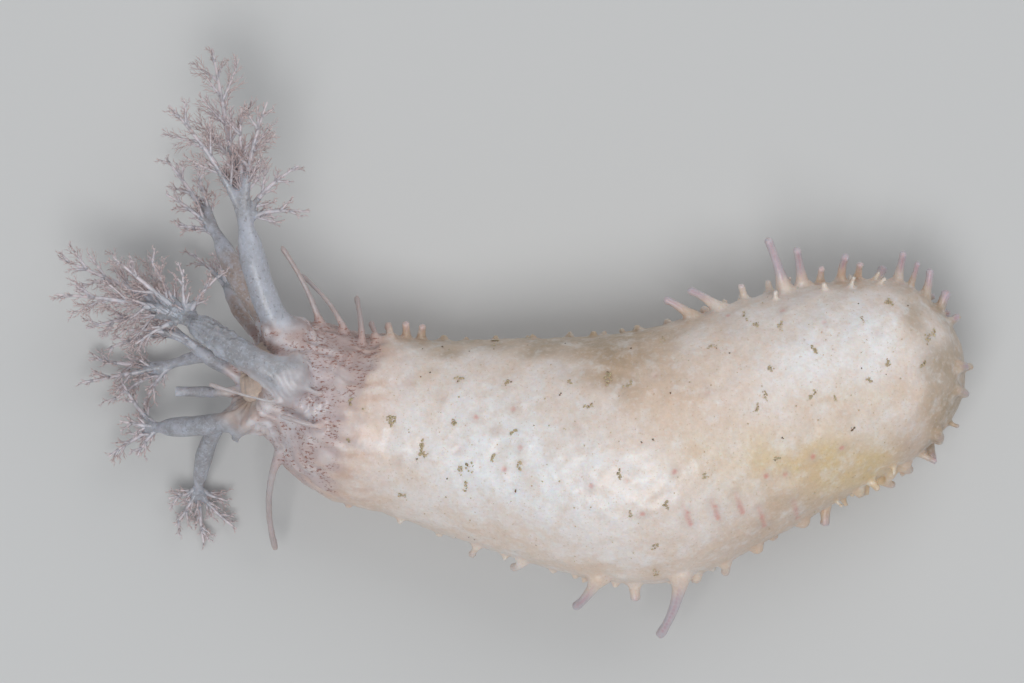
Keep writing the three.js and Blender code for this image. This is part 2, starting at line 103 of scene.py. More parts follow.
# The feet that stand out far enough to have a place of their own: x and y of the root in plan, on the
# upper half of the body, then where the tip is, and the radius.
LONG_FEET = (
    ((-23.3, 9.8), (-26.0, 15.6, 9.4), 0.28),
    ((-21.8, 9.4), (-24.6, 13.5, 7.0), 0.26),
    ((-20.2, 8.5), (-20.3, 11.8, 7.6), 0.30),
    ((-26.4, -0.2), (-26.7, -7.8, 2.6), 0.33),
    ((-25.9, 3.9), (-31.4, 5.1, 12.9), 0.25),
    ((-23.7, 4.7), (-25.8, 5.6, 13.0), 0.32),
    ((-23.6, 2.3), (-26.0, 2.7, 12.2), 0.30),
    ((-19.0, 8.4), (-19.2, 9.8, 7.2), 0.32),
    ((-17.8, 8.4), (-17.9, 9.7, 7.2), 0.32),
    ((-16.5, 8.4), (-16.5, 9.8, 7.3), 0.34),
    ((-15.3, 8.4), (-15.2, 9.6, 7.3), 0.34),
    ((5.4, 10.1), (3.4, 11.6, 9.2), 0.36),
    ((7.4, 10.8), (5.3, 12.3, 8.6), 0.36),
    ((9.6, 11.6), (9.3, 12.7, 8.4), 0.32),
    ((12.2, 13.1), (11.3, 16.2, 10.2), 0.38),
    ((13.8, 13.2), (13.5, 15.4, 10.6), 0.36),
    ((15.4, 12.8), (15.5, 14.0, 8.8), 0.30),
    ((16.9, 13.4), (17.3, 14.9, 9.6), 0.34),
    ((18.3, 13.2), (18.5, 14.3, 8.6), 0.30),
    ((21.3, 13.2), (21.8, 15.2, 8.4), 0.34),
    ((22.3, 12.9), (22.9, 14.4, 8.4), 0.26),
    ((23.4, 12.4), (23.9, 13.9, 7.6), 0.34),
    ((24.5, 11.4), (25.2, 12.2, 7.4), 0.42),
    ((25.3, 9.8), (26.1, 10.3, 7.2), 0.34),
    ((25.8, 6.4), (27.0, 6.4, 7.0), 0.36),
    ((25.6, 4.6), (26.7, 4.3, 6.8), 0.32),
    ((24.0, 1.8), (24.6, 0.7, 6.6), 0.40),
    ((21.6, -0.1), (22.3, -1.5, 6.2), 0.46),
    ((20.6, -0.9), (20.5, -2.6, 6.2), 0.34),
    ((17.8, -1.9), (18.5, -3.4, 6.4), 0.38),
    ((13.2, -3.9), (13.7, -5.2, 6.6), 0.38),
    ((9.9, -6.2), (10.5, -7.5, 7.2), 0.40),
    ((7.7, -7.9), (8.1, -9.4, 7.4), 0.40),
    ((5.4, -8.9), (5.8, -9.9, 7.6), 0.38),
    ((3.2, -9.9), (3.1, -14.3, 6.8), 0.42),
    ((1.1, -10.1), (1.2, -11.5, 8.4), 0.44),
    ((-1.6, -9.8), (-3.4, -12.1, 6.8), 0.40),
    ((-7.3, -7.9), (-8.2, -9.1, 5.8), 0.34),
    ((-10.9, -6.8), (-11.4, -8.1, 6.2), 0.34),
)

# Feet that are drawn in, on the upper side: x and y in plan, and how red the dot in the middle is.
DRAWN_IN = (
    (-13.2, 3.8, 0.1), (-11.8, -0.3, 0.3), (-7.2, 2.9, 0.6), (-10.3, 2.3, 0.8), (0.9, -2.5, 0.3),
    (4.2, -1.9, 0.9), (-8.6, 1.1, 0.1), (-7.9, -1.8, 0.9), (-6.5, -0.1, 0.6), (-1.3, -3.0, 0.7),
    (2.0, -5.1, 0.9), (14.6, -0.9, 0.98), (16.8, -0.2, 0.98), (11.0, -2.4, 0.98), (12.5, -2.3, 0.7),
    (8.3, 10.3, 0.9), (12.4, 10.6, 0.6), (5.2, -5.1, 0.8), (7.2, -4.7, 0.9), (9.0, -4.7, 0.8),
    (10.8, -5.5, 0.9), (13.5, -4.9, 0.8), (2.6, 5.6, 0.2), (6.4, 4.1, 0.2), (15.4, 9.6, 0.4),
    (19.6, 8.9, 0.2), (-3.6, 5.9, 0.1), (-15.9, 5.0, 0.1), (-16.8, -1.2, 0.2), (-2.2, 1.2, 0.2),
)

# Crumbs of silt on the upper side: x and y in plan, size, and 1 for a dark one.
CRUMBS = (
    (-11.8, 5.3, 1, 0), (-7.8, 4.9, 1, 0), (-2.9, 4.9, 1, 0), (-0.5, 5.2, 2.2, 0), (1.0, 5.0, 1, 0),
    (-1.5, 3.3, 1, 0), (-17.8, 2.0, 2.4, 0), (-12.0, 1.9, 1, 0), (-14.6, -0.2, 2.2, 0),
    (-11.2, -2.0, 2.2, 0), (-11.2, -3.1, 1.2, 0), (-7.2, 1.0, 1, 0), (-8.9, -0.8, 1, 0), (-6.5, -1.6, 1, 0),
    (0.5, -2.1, 1, 0), (1.1, -5.1, 1, 0), (3.8, -4.5, 1, 0), (2.9, -7.8, 1, 0), (2.8, -9.7, 1, 0),
    (-16.5, -3.7, 1, 0), (-9.6, 8.3, 2.2, 0), (-18.4, 7.5, 1, 0), (-21.5, 4.0, 1, 0), (-20.1, 3.2, 1, 0),
    (-21.5, 0.7, 1, 0), (18.6, 9.8, 1, 0), (14.6, 7.4, 1, 0), (11.2, 6.1, 1, 0), (9.5, 10.2, 1, 0),
    (10.2, 9.5, 1, 0), (12.2, 9.4, 1, 0), (18.8, 5.0, 1, 0), (20.4, 6.5, 1, 0), (23.5, 6.5, 1, 0),
    (24.2, 8.6, 1.8, 0), (14.4, 4.0, 1, 0), (16.2, 3.5, 1, 0), (10.9, 3.8, 1, 0), (10.1, 2.8, 1, 0),
    (6.9, 7.6, 1, 0), (3.2, 8.2, 1, 0), (6.5, -2.3, 1, 0), (11.8, -1.0, 1, 0), (20.8, 11.2, 1.4, 0),
    (-3.5, 4.1, 0.6, 1), (-5.4, 1.6, 0.6, 1), (1.9, 0.4, 0.6, 1), (-15.2, -1.0, 0.6, 1),
    (-7.0, -3.5, 0.6, 1), (-12.5, -7.1, 0.6, 1), (-13.5, 7.9, 0.6, 1), (2.6, 0.7, 0.6, 1),
    (12.2, 0.5, 0.6, 1), (17.5, 1.2, 0.9, 1),
)

# Feet that lie flat on the lower rear side, as the x and y of their middles in plan.
LYING_FEET = ((5.2, -5.3), (7.2, -4.9), (9.0, -4.5), (10.8, -5.5), (13.5, -4.9))

# The ring of tentacles, and each one: angle on the ring, stalk radii at base and neck, where the stalk
# ends, the crown's rise in degrees and its main branches as (bearing in plan, length).
RING_RADIUS = 3.35
DISC_RADIUS = 2.2
DISC_DOME = 1.1
MOUTH_RADIUS = 0.5
GAP = 0.3
TENTACLES = (
    (18, 1.2, 0.98, (-28.5, 16.3, 10.6), 2,
     ((101, 14.1), (80, 9.9), (14, 5.0), (122, 11.2), (50, 6.2), (92, 9.2))),
    (340, 0.8, 0.85, (-30.6, 15.6, 6.2), -4, ((124, 7.8), (140, 5.4), (108, 6.2), (164, 3.4))),
    (85, 1.3, 1.0, (-32.4, 9.6, 9.3), -6,
     ((155, 11.6), (169, 10.6), (184, 8.6), (141, 7.8), (124, 6.0), (57, 4.6), (202, 4.8), (99, 4.0))),
    (258, 0.62, 0.6, (-32.9, 8.0, 6.2), -10, ((187, 6.7), (172, 5.2), (134, 4.2))),
    (238, 0.5, 0.52, (-33.9, 4.5, 6.4), 0, ()),
    (188, 0.9, 0.8, (-35.0, 1.7, 4.6), -4, ((131, 4.9), (171, 3.2), (209, 4.7), (230, 2.8))),
    (214, 0.66, 0.7, (-32.6, -2.2, 2.4), -8, ((274, 5.0), (240, 3.7), (310, 4.6), (204, 2.6), (330, 2.6))),
    (150, 0.5, 0.42, (-29.6, 0.9, 7.4), 0, ()),
    (284, 0.62, 0.62, (-33.8, 6.9, 2.9), -3, ((177, 6.9), (192, 7.2), (211, 6.0), (233, 4.1))),
    (311, 0.62, 0.62, (-30.2, 12.0, 3.4), -4, ((136, 3.8), (100, 3.2), (60, 3.0))),
)
TWIG_SPACING = 2.3
TWIG_SHARE = 0.4
LOWEST_TWIG = 0.45
LOWEST_FILAMENT = 0.2
LEAD_STEPS = 6  # steps of a stalk's path inside the introvert, and from the ring to its end
STALK_STEPS = 22

SMOOTHING_TURNS = 30  # how often the tentacles' roots and forks are smoothed
BLOCK = 20000  # points handled at once where every distance to the targets is worked out
PIT_DEPTH = 0.75  # of the mouth
DISC_BASE = 0.3  # how far under the ring's plane the oral disc ends
FLOOR_HALF = 2500.0  # half the side of the floor's square

# The camera looks straight down from above the middle of the picture.
PICTURE_MIDDLE = (-8.31, 8.35)
CAMERA_HEIGHT = 500.0
SENSOR = 36.0
LENS = 224.7


def seeded(seed):
    """A 32-bit mixing generator: each call gives the next number from 0 to 1."""
    mask = 0xFFFFFFFF
    state = seed & mask

    def draw():
        nonlocal state
        state = (state + 0x6D2B79F5) & mask
        t = state
        t = ((t ^ (t >> 15)) * (t | 1)) & mask
        t ^= (t + (((t ^ (t >> 7)) * (t | 61)) & mask)) & mask
        return ((t ^ (t >> 14)) & mask) / 4294967296

    return draw


def smoothstep(x, low, high):
    """0 below low, 1 above high, and 3t^2 - 2t^3 of the share t between them."""
    t = np.clip((x - low) / (high - low), 0, 1)
    return t * t * (3 - 2 * t)


def unit(v):
    return v / np.maximum(np.linalg.norm(v, axis=-1, keepdims=True), 1e-9)


def waves(points, wavelength, seed, count):
    """Smooth noise from -1 to 1: the mean of sine waves of about one length that run in seeded directions."""
    random = np.random.default_rng(seed)
    ways = unit(random.normal(size=(count, 3))) * random.uniform(0.7, 1.5, (count, 1))
    turns = random.uniform(0, 2 * math.pi, count)
    return np.sin(points @ ways.T * (2 * math.pi / wavelength) + turns).sum(-1) / math.sqrt(count)


def body_at(x):
    """Middle line and half sizes at each x: cubic pieces through the stations, whose slopes are those of
    the chord between their neighbours, times a quarter ellipse at the tail."""
    x = np.atleast_1d(np.asarray(x, float))
    slopes = np.empty((len(STATIONS), 4))
    slopes[1:-1] = (STATIONS[2:, 1:] - STATIONS[:-2, 1:]) / (STATIONS[2:, :1] - STATIONS[:-2, :1])
    slopes[0] = (STATIONS[1, 1:] - STATIONS[0, 1:]) / (STATIONS[1, 0] - STATIONS[0, 0])
    slopes[-1] = (STATIONS[-1, 1:] - STATIONS[-2, 1:]) / (STATIONS[-1, 0] - STATIONS[-2, 0])
    i = np.clip(np.searchsorted(STATIONS[:, 0], x, side="left") - 1, 0, len(STATIONS) - 2)
    p, q = STATIONS[i], STATIONS[i + 1]
    span = (q[:, 0] - p[:, 0])[:, None]
    t = (x - p[:, 0])[:, None] / span
    value = (
        (2 * t**3 - 3 * t**2 + 1) * p[:, 1:]
        + (t**3 - 2 * t**2 + t) * span * slopes[i]
        + (3 * t**2 - 2 * t**3) * q[:, 1:]
        + (t**3 - t**2) * span * slopes[i + 1]
    )
    rounding = np.maximum(0, (x - TAIL_ROUND_FROM) / (TAIL_X - TAIL_ROUND_FROM))
    left = np.sqrt(np.maximum(0, 1 - rounding**2))
    middle = np.stack([x, value[:, 0], value[:, 1]], -1)
    return middle, value[:, 2] * left, value[:, 3] * left


def section_at(x):
    """The section at each x: middle, half sizes, and the directions along, to the side and up."""
    x = np.atleast_1d(np.asarray(x, float))
    middle, wide, high = body_at(x)
    along = unit(body_at(np.minimum(x + 0.05, TAIL_X))[0] - body_at(x - 0.05)[0])
    side = unit(np.cross(UP, along))
    return middle, wide, high, along, side, np.cross(along, side)


def surface_at(x, angle, grow=0.0):
    """Point and outward direction on the body: the ellipse of the section at x, taken at an angle."""
    x, angle = np.broadcast_arrays(np.atleast_1d(np.asarray(x, float)), np.radians(angle))
    middle, wide, high, along, side, up = section_at(x.ravel())
    turn = angle.ravel()
    c, s = np.cos(turn)[:, None], np.sin(turn)[:, None]
    grow = np.broadcast_to(grow, x.shape).ravel()
    point = middle + side * c * (wide + grow)[:, None] + up * s * (high + grow)[:, None]
    out = unit(side * c / np.maximum(wide, 0.5)[:, None] + up * s / np.maximum(high, 0.5)[:, None])
    taper = (body_at(np.minimum(x.ravel() + 0.3, TAIL_X))[1] - body_at(x.ravel() - 0.3)[1]) / 0.6
    return point, unit(out - along * taper[:, None]), along, up


def upper_place(plan):
    """x along the body and angle round it of places in plan on its upper half: x moves until the place
    lies straight to the side of the middle line, and the angle's cosine is the share of the half width."""
    plan = np.atleast_2d(plan)
    x = plan[:, 0].copy()
    for _ in range(12):
        middle, wide, _, along, side, _ = section_at(x)
        away = plan - middle[:, :2]
        x = x + (away * along[:, :2]).sum(-1)
    middle, wide, _, along, side, _ = section_at(x)
    away = plan - middle[:, :2]
    share = np.clip((away * side[:, :2]).sum(-1) / wide, -FLANK_LIMIT, FLANK_LIMIT)
    return x, np.degrees(np.arccos(share))


def under_camera(plan):
    """The place on the body that the camera sees at a place of the picture's plane: the nearer to the
    camera the surface is, the further in it lies."""
    plan = np.atleast_2d(np.asarray(plan, float))
    height = surface_at(*upper_place(plan))[0][:, 2:]
    return PICTURE_MIDDLE + (plan - PICTURE_MIDDLE) * (1 - height / CAMERA_HEIGHT)


def bezier(curve, t):
    """Point and direction on quadratic curves, given as (start, bend, end), at the shares t."""
    a, b, c = (curve[..., None, k, :] for k in range(3))
    t = t[..., None]
    point = (1 - t) ** 2 * a + 2 * t * (1 - t) * b + t**2 * c
    return point, unit(2 * (1 - t) * (b - a) + 2 * t * (c - b))


def join(parts):
    """Several (points, quads, triangles, values) sets as one, with the face indices moved on."""
    points, quads, tris, values = [], [], [], []
    first = 0
    for p, q, t, v in parts:
        points.append(p)
        quads.append(q + first)
        tris.append(t + first)
        values.append(v)
        first += len(p)
    return np.concatenate(points), np.concatenate(quads), np.concatenate(tris), np.concatenate(values)


def ring_faces(rings, sides):
    """Quads between rings of points that follow one another, and triangles that close the first and the
    last ring to the two points that come after the rings."""
    i = np.arange(sides)
    j = (i + 1) % sides
    k = (np.arange(rings - 1) * sides)[:, None]
    quads = np.stack([k + i, k + j, k + j + sides, k + i + sides], -1).reshape(-1, 4)
    last = (rings - 1) * sides
    low, high = np.full(sides, rings * sides), np.full(sides, rings * sides + 1)
    tris = np.concatenate([np.stack([j, i, low], -1), np.stack([i + last, j + last, high], -1)])
    return quads, tris


def tubes(paths, radii, sides, values=None):
    """Round tubes along many paths at once: a circle of each radius is carried along each path without
    twist, and both ends are closed by a point that stands out by half the end's radius."""
    count, steps, _ = paths.shape
    along = np.empty_like(paths)
    along[:, 1:-1] = paths[:, 2:] - paths[:, :-2]
    along[:, 0] = paths[:, 1] - paths[:, 0]
    along[:, -1] = paths[:, -1] - paths[:, -2]
    along = unit(along)
    across = np.where(np.abs(along[:, 0, 2:]) < 0.9, UP, np.array([1.0, 0, 0]))
    turn = np.linspace(0, 2 * math.pi, sides, endpoint=False)
    rings = np.empty((count, steps, sides, 3))
    for k in range(steps):
        across = unit(across - along[:, k] * (along[:, k] * across).sum(-1, keepdims=True))
        other = np.cross(along[:, k], across)
        ring = across[:, None] * np.cos(turn)[:, None] + other[:, None] * np.sin(turn)[:, None]
        rings[:, k] = paths[:, k, None] + ring * radii[:, k, None, None]
    low = paths[:, 0] - along[:, 0] * radii[:, 0, None] * 0.5
    high = paths[:, -1] + along[:, -1] * radii[:, -1, None] * 0.5
    points = np.concatenate([rings.reshape(count, -1, 3), low[:, None], high[:, None]], 1)
    quads, tris = ring_faces(steps, sides)
    move = (np.arange(count) * (steps * sides + 2))[:, None, None]
    if values is None:
        values = np.zeros((count, steps))
    spread = np.concatenate([np.repeat(values, sides, 1), values[:, :1], values[:, -1:]], 1)
    return points.reshape(-1, 3), (quads + move).reshape(-1, 4), (tris + move).reshape(-1, 3), spread.ravel()


def mesh_piece(name, points, quads, tris, smooth=True):
    """A mesh object at the origin, in metres, from points in millimetres and faces as index arrays."""
    mesh = bpy.data.meshes.new(name)
    mesh.vertices.add(len(points))
    mesh.vertices.foreach_set("co", (points * MM).astype(np.float32).ravel())
    corners = np.concatenate([quads.ravel(), tris.ravel()]).astype(np.int32)
    starts = np.concatenate([np.arange(len(quads)) * 4, len(quads) * 4 + np.arange(len(tris)) * 3])
    mesh.loops.add(len(corners))
    mesh.loops.foreach_set("vertex_index", corners)
    mesh.polygons.add(len(starts))
    mesh.polygons.foreach_set("loop_start", starts.astype(np.int32))
    mesh.update(calc_edges=True)
    mesh.validate()
    if smooth:
        mesh.shade_smooth()
    piece = bpy.data.objects.new(name, mesh)
    bpy.context.scene.collection.objects.link(piece)
    return piece


def points_of(mesh):
    """The mesh's vertices in millimetres."""
    flat = np.empty(len(mesh.vertices) * 3, np.float32)
    mesh.vertices.foreach_get("co", flat)
    return flat.reshape(-1, 3).astype(float) / MM


def normals_of(mesh):
    flat = np.empty(len(mesh.vertices) * 3, np.float32)
    mesh.vertex_normals.foreach_get("vector", flat)
    return flat.reshape(-1, 3).astype(float)


def paint(mesh, name, values):
    """A value or a colour at each vertex, which the materials read by name."""
    if values.ndim == 1:
        mesh.attributes.new(name, "FLOAT", "POINT").data.foreach_set("value", values.astype(np.float32))
        return
    alpha = np.ones((len(values), 1))
    data = np.concatenate([values, alpha], 1).astype(np.float32).ravel()
    mesh.attributes.new(name, "FLOAT_COLOR", "POINT").data.foreach_set("color", data)


def mix(a, b, share):
    """Colour a moved to colour b by a share for each row."""
    return a + (np.asarray(b) - a) * np.asarray(share)[..., None]


# Feet

def long_feet():
    """The feet of the list above as (x, angle, radius, tip). The ones that hang down steeply start closer
    to the widest line of the body than in the solids."""
    roots, tips = (np.array([foot[k] for foot in LONG_FEET]) for k in (0, 1))
    x, angle = upper_place(roots)
    steep = 1 - smoothstep(np.linalg.norm(tips[:, :2] - roots, axis=1), STEEP_REACH, LONG_REACH)
    steep *= smoothstep(x, COLLAR_X, COLLAR_X + 2) * (1 - smoothstep(x, 22.5, 24))
    widest = np.where(angle > 90, 180, 0)
    angle = angle + (widest - angle) * 0.75 * steep
    return [(float(x[k]), float(angle[k]), radius, tip) for k, (_, tip, radius) in enumerate(LONG_FEET)]


def short_feet(placed_feet):
    """The short feet of the solids: seeded tries over the body that keep their distance, none on the upper
    side, and longer along both flanks and round the tail."""
    random = seeded(11)
    feet = []
    taken = [surface_at(x, angle)[0][0] for x, angle, _, _ in placed_feet]
    for _ in range(FOOT_TRIES):
        x = FOOT_FROM_X + (FOOT_TO_X - FOOT_FROM_X) * random()
        angle = 360 * random()
        draw, size, lean = random(), random(), random() - 0.5
        point, out, along, _ = (value[0] for value in surface_at(x, angle))
        flank, height = math.cos(math.radians(angle)) ** 2, math.sin(math.radians(angle))
        rear = float(smoothstep(x, 6, 16))
        length = (LOWER_FLANK if height < 0 else flank) * (0.5 + draw * (0.7 + 0.9 * rear))
        if height > BARE_ABOVE[0] + (BARE_ABOVE[1] - BARE_ABOVE[0]) * rear:
            continue
        if length < SHORTEST_FOOT or point[2] < FLOOR_FOOT_HEIGHT:
            continue
        if any(abs(x - cut) < CUT_CLEARANCE for cut in CUTS):
            continue
        if any(np.linalg.norm(p - point) < FOOT_SPACING for p in taken):
            continue
        taken.append(point)
        tip = point + (out + along * lean) * length
        feet.append((x, angle, FOOT_RADIUS * (0.85 + 0.4 * size), tuple(tip)))
    return feet


def extra_feet(tries, seed, known):
    """More small nubs between the others, on both flanks and round the tail, as (x, angle, radius, tip)."""
    random = np.random.default_rng(seed)
    taken = [surface_at(x, angle)[0][0] for x, angle, _, _ in known]
    feet = []
    for _ in range(tries):
        x = random.uniform(-19.7, 25.8)
        angle = random.uniform(0, 360)
        draw, lean, size, gap = random.random(), random.normal(), random.random(), random.uniform(1.1, 2.6)
        flank, height = abs(math.cos(math.radians(angle))), math.sin(math.radians(angle))
        rear = float(smoothstep(x, 6, 15))
        length = (0.25 + 0.5 * flank**4 * draw) * (0.6 + 0.9 * rear)
        if flank < 0.75 or height > 0.1 + 0.3 * rear or length < 0.25:
            continue
        point, out, along, up = (value[0] for value in surface_at(x, angle))
        if point[2] < 0.6 or min(np.linalg.norm(p - point) for p in taken) < gap:
            continue
        taken.append(point)
        tip = point + (out + along * 0.35 * lean + up * 0.1 * lean) * length
        feet.append((x, angle, 0.2 + 0.14 * size, tuple(tip)))
    return feet


def foot_tubes(feet, sides=16):
    """Each foot: a root that spreads into the body wall like a tent, a slim stem on a quadratic curve
    from the wall to the tip, and a small sucker whose end is a little wider than the stem."""
    roots = np.array([[x, angle] for x, angle, _, _ in feet])
    radius = np.array([r for _, _, r, _ in feet])
    tip = np.array([t for _, _, _, t in feet])
    point, out, _, _ = surface_at(roots[:, 0], roots[:, 1])
    length = np.linalg.norm(tip - point, axis=1)
    reach = np.linalg.norm((tip - point)[:, :2], axis=1)
    bend = point + (tip - point) * FOOT_BEND_ALONG + out * (length * FOOT_BEND_OUT)[:, None]
    curve = np.stack([point, bend, tip], 1)
    shares = np.array([0, 0.06, 0.13, 0.22, 0.34, 0.5, 0.68, 0.84, 0.93, 1.0])
    path, _ = bezier(curve, np.broadcast_to(shares, (len(feet), len(shares))))
    sunk = point - out * FOOT_SINK
    path = np.concatenate([sunk[:, None], path], 1)
    wide = np.array([3.0, 2.6, 2.0, 1.6, 1.32, 1.12, 0.98, 0.9, 0.88, 0.98, 0.92])
    slim = np.array([2.1, 1.8, 1.45, 1.25, 1.1, 1.02, 0.96, 0.92, 0.94, 1.04, 0.92])
    share = smoothstep(reach, TENT_REACH, LONG_REACH) * smoothstep(roots[:, 0], COLLAR_X, COLLAR_X + 4)
    share = share[:, None]
    thin = np.where(roots[:, 0] < COLLAR_X, 0.85, 1.0)
    return tubes(path, (wide * share + slim * (1 - share)) * (radius * thin)[:, None], sides)


# Tentacles

def ring_frame():
    """The mouth end's plane: its centre, two directions across it and the one that it faces."""
    middle, _, _, along, side, up = (value[0] for value in section_at(MOUTH_X))
    return middle, side, up, -along


def ring_place(tentacle):
    """The ring's centre, the way that the ring faces, and the way from the centre to a tentacle."""
    centre, side, up, out = ring_frame()
    turn = math.radians(tentacle[0])
    return centre, out, side * math.cos(turn) + up * math.sin(turn)


def stalk_curve(tentacle):
    """The stalk's middle line: out from the ring, then over to the crown, as one quadratic curve."""
    centre, out, radial = ring_place(tentacle)
    root = centre + radial * RING_RADIUS - out * 0.9
    end = np.array(tentacle[3], float)
    reach = np.linalg.norm(end - root)
    return np.array([root, root + out * reach * 0.34 + radial * reach * 0.22, end])


def turned(v, axis, angle):
    """Vector v turned about a unit axis by an angle."""
    kept = axis * (axis @ v) * (1 - math.cos(angle))
    return v * math.cos(angle) + np.cross(axis, v) * math.sin(angle) + kept


def crown_curves(tentacle, number):
    """The crown's main branches and the side twigs of the solids, drawn in the same order."""
    random = seeded(100 + number)
    line = stalk_curve(tentacle)
    axis = unit(line[2] - line[1])
    start = line[2] + axis * (GAP + 0.5)
    mains, twigs = [], []
    for k, (bearing, length) in enumerate(tentacle[5]):
        pitch = math.radians(tentacle[4] + (9 if k % 2 else -6) + 8 * (random() - 0.5))
        level = math.radians(bearing)
        flat = math.cos(pitch)
        way = np.array([math.cos(level) * flat, math.sin(level) * flat, math.sin(pitch)])
        end = start + way * length
        bend = start + axis * length * 0.3 + way * length * 0.12
        end[2], bend[2] = max(end[2], LOWEST_TWIG), max(bend[2], LOWEST_TWIG)
        main = np.array([start, bend, end])
        mains.append(main)
        count = max(2, round(length / TWIG_SPACING))
        for j in range(count):
            at = 0.24 + (0.66 * (j + 0.3 + 0.4 * random())) / count
            angle = math.radians(36 + 22 * random()) * (1 if j % 2 else -1)
            roll = math.radians(70 * (random() - 0.5))
            root, tangent = (value[0] for value in bezier(main, np.array([at])))
            twig_way = turned(tangent, turned(UP, tangent, roll), angle)
            twig = max(1.1, length * TWIG_SHARE * (1.05 - 0.75 * at) * (0.8 + 0.4 * random()))
            tip = root + twig_way * twig + tangent * twig * 0.2
            middle = root + twig_way * twig * 0.5
            tip[2] = max(tip[2], LOWEST_TWIG * 0.7)
            middle[2] = max(middle[2], LOWEST_TWIG * 0.8)
            twigs.append(np.array([root, middle, tip]))
    return start, np.array(mains), np.array(twigs)


def sprout(parents, per_mm, share, random, low, high, limits):
    """Side branches of many curves at once: spaced along each parent, to alternate sides with a random
    roll, leaning 24 to 46 degrees off it, and shorter towards its tip."""
    first, second = (np.linalg.norm(parents[:, k + 1] - parents[:, k], axis=1) for k in (0, 1))
    size = first + second
    counts = np.maximum(1, np.round(size * (high - low) * per_mm).astype(int))
    which = np.repeat(np.arange(len(parents)), counts)
    order = np.arange(len(which)) - np.repeat(np.cumsum(counts) - counts, counts)
    t = low + (high - low) * (order + random.uniform(0.15, 0.85, len(which))) / counts[which]
    root, tangent = (value[:, 0] for value in bezier(parents[which], t[:, None]))
    lateral = unit(np.cross(UP, tangent) + 1e-6)
    vertical = np.cross(tangent, lateral)
    roll = math.pi * (order % 2) + random.normal(0, 0.7, len(which))
    side = lateral * np.cos(roll)[:, None] + vertical * np.sin(roll)[:, None]
    lean = np.radians(random.uniform(24, 46, len(which)))
    way = tangent * np.cos(lean)[:, None] + side * np.sin(lean)[:, None]
    length = np.clip(size[which] * share * (1.15 - 0.7 * t) * random.uniform(0.6, 1.4, len(which)), *limits)
    length = length[:, None]
    curve = np.stack([root, root + way * length * 0.5, root + way * length + tangent * length * 0.16], 1)
    curve[:, 1:, 2] = np.maximum(curve[:, 1:, 2], LOWEST_FILAMENT)
    return curve


def curve_tubes(curves, steps, sides, from_radius, to_radius, tone):
    """Tubes along quadratic curves, with a radius that falls evenly from root to tip. The tone is the
    colour value at the root and at the tip."""
    t = np.linspace(0, 1, steps)
    path, _ = bezier(curves, np.broadcast_to(t, (len(curves), steps)))
    radii = np.broadcast_to(from_radius + (to_radius - from_radius) * t**0.85, (len(curves), steps))
    tones = np.broadcast_to(tone[0] + (tone[1] - tone[0]) * t, (len(curves), steps))
    return tubes(path, radii, sides, tones)


def main_radius(length):
    """Root radius of a main branch in the render, by its length."""
    return 0.27 + 0.015 * length


# Materials

def feed(links, socket, value):
    """Links an output socket to an input, or sets a number on the input itself."""
    if isinstance(value, bpy.types.NodeSocket):
        links.new(value, socket)
    else:
        socket.default_value = value


def math_node(nodes, links, operation, *values, clamp=False):
    """One step of arithmetic on output sockets and numbers, in their order."""
    node = nodes.new("ShaderNodeMath")
    node.operation = operation
    node.use_clamp = clamp
    for socket, value in zip(node.inputs, values):
        feed(links, socket, value)
    return node.outputs[0]


def group(name, inputs, outputs):
    """A shader node group with the named sockets; an input is given as (name, kind, default)."""
    tree = bpy.data.node_groups.new(name, "ShaderNodeTree")
    for label, kind, default in inputs:
        socket = tree.interface.new_socket(label, in_out="INPUT", socket_type="NodeSocket" + kind)
        if default is not None:
            socket.default_value = default
    for label, kind in outputs:
        tree.interface.new_socket(label, in_out="OUTPUT", socket_type="NodeSocket" + kind)
    return tree, tree.nodes, tree.links, tree.nodes.new("NodeGroupInput"), tree.nodes.new("NodeGroupOutput")


def group_noise(nodes, links, given, detail, roughness):
    """Noise that takes its place and its scale from the group's inputs."""
    noise = nodes.new("ShaderNodeTexNoise")
    noise.inputs["Detail"].default_value = detail
    noise.inputs["Roughness"].default_value = roughness
    for name in ("Vector", "Scale"):
        links.new(given.outputs[name], noise.inputs[name])
    return noise.outputs["Fac"]


def flecks_group():
    """Small dark flecks: stretched noise above a threshold that falls as the density rises."""
    tree, nodes, links, given, result = group(
        "Skin flecks",
        [("Vector", "Vector", None), ("Scale", "Float", 1.0), ("Density", "Float", 0.5)],
        [("Mask", "Float")],
    )
    noise = group_noise(nodes, links, given, 3.0, 0.65)
    threshold = math_node(nodes, links, "MULTIPLY_ADD", given.outputs["Density"], -0.34, 0.86)
    above = math_node(nodes, links, "SUBTRACT", noise, threshold)
    links.new(math_node(nodes, links, "MULTIPLY", above, 9.0, clamp=True), result.inputs["Mask"])
    return tree


def mottle_group():
    """A colour made a little lighter and darker by soft noise."""
    tree, nodes, links, given, result = group(
        "Soft mottling",
        [("Vector", "Vector", None), ("Color", "Color", None), ("Scale", "Float", 1.0),
         ("Amount", "Float", 0.2)],
        [("Color", "Color")],
    )
    centred = math_node(nodes, links, "SUBTRACT", group_noise(nodes, links, given, 5.0, 0.6), 0.5)
    gain = math_node(nodes, links, "MULTIPLY_ADD", centred, given.outputs["Amount"], 1.0)
    scaled = nodes.new("ShaderNodeVectorMath")
    scaled.operation = "SCALE"
    links.new(given.outputs["Color"], scaled.inputs[0])
    links.new(gain, scaled.inputs["Scale"])
    links.new(scaled.outputs["Vector"], result.inputs["Color"])
    return tree


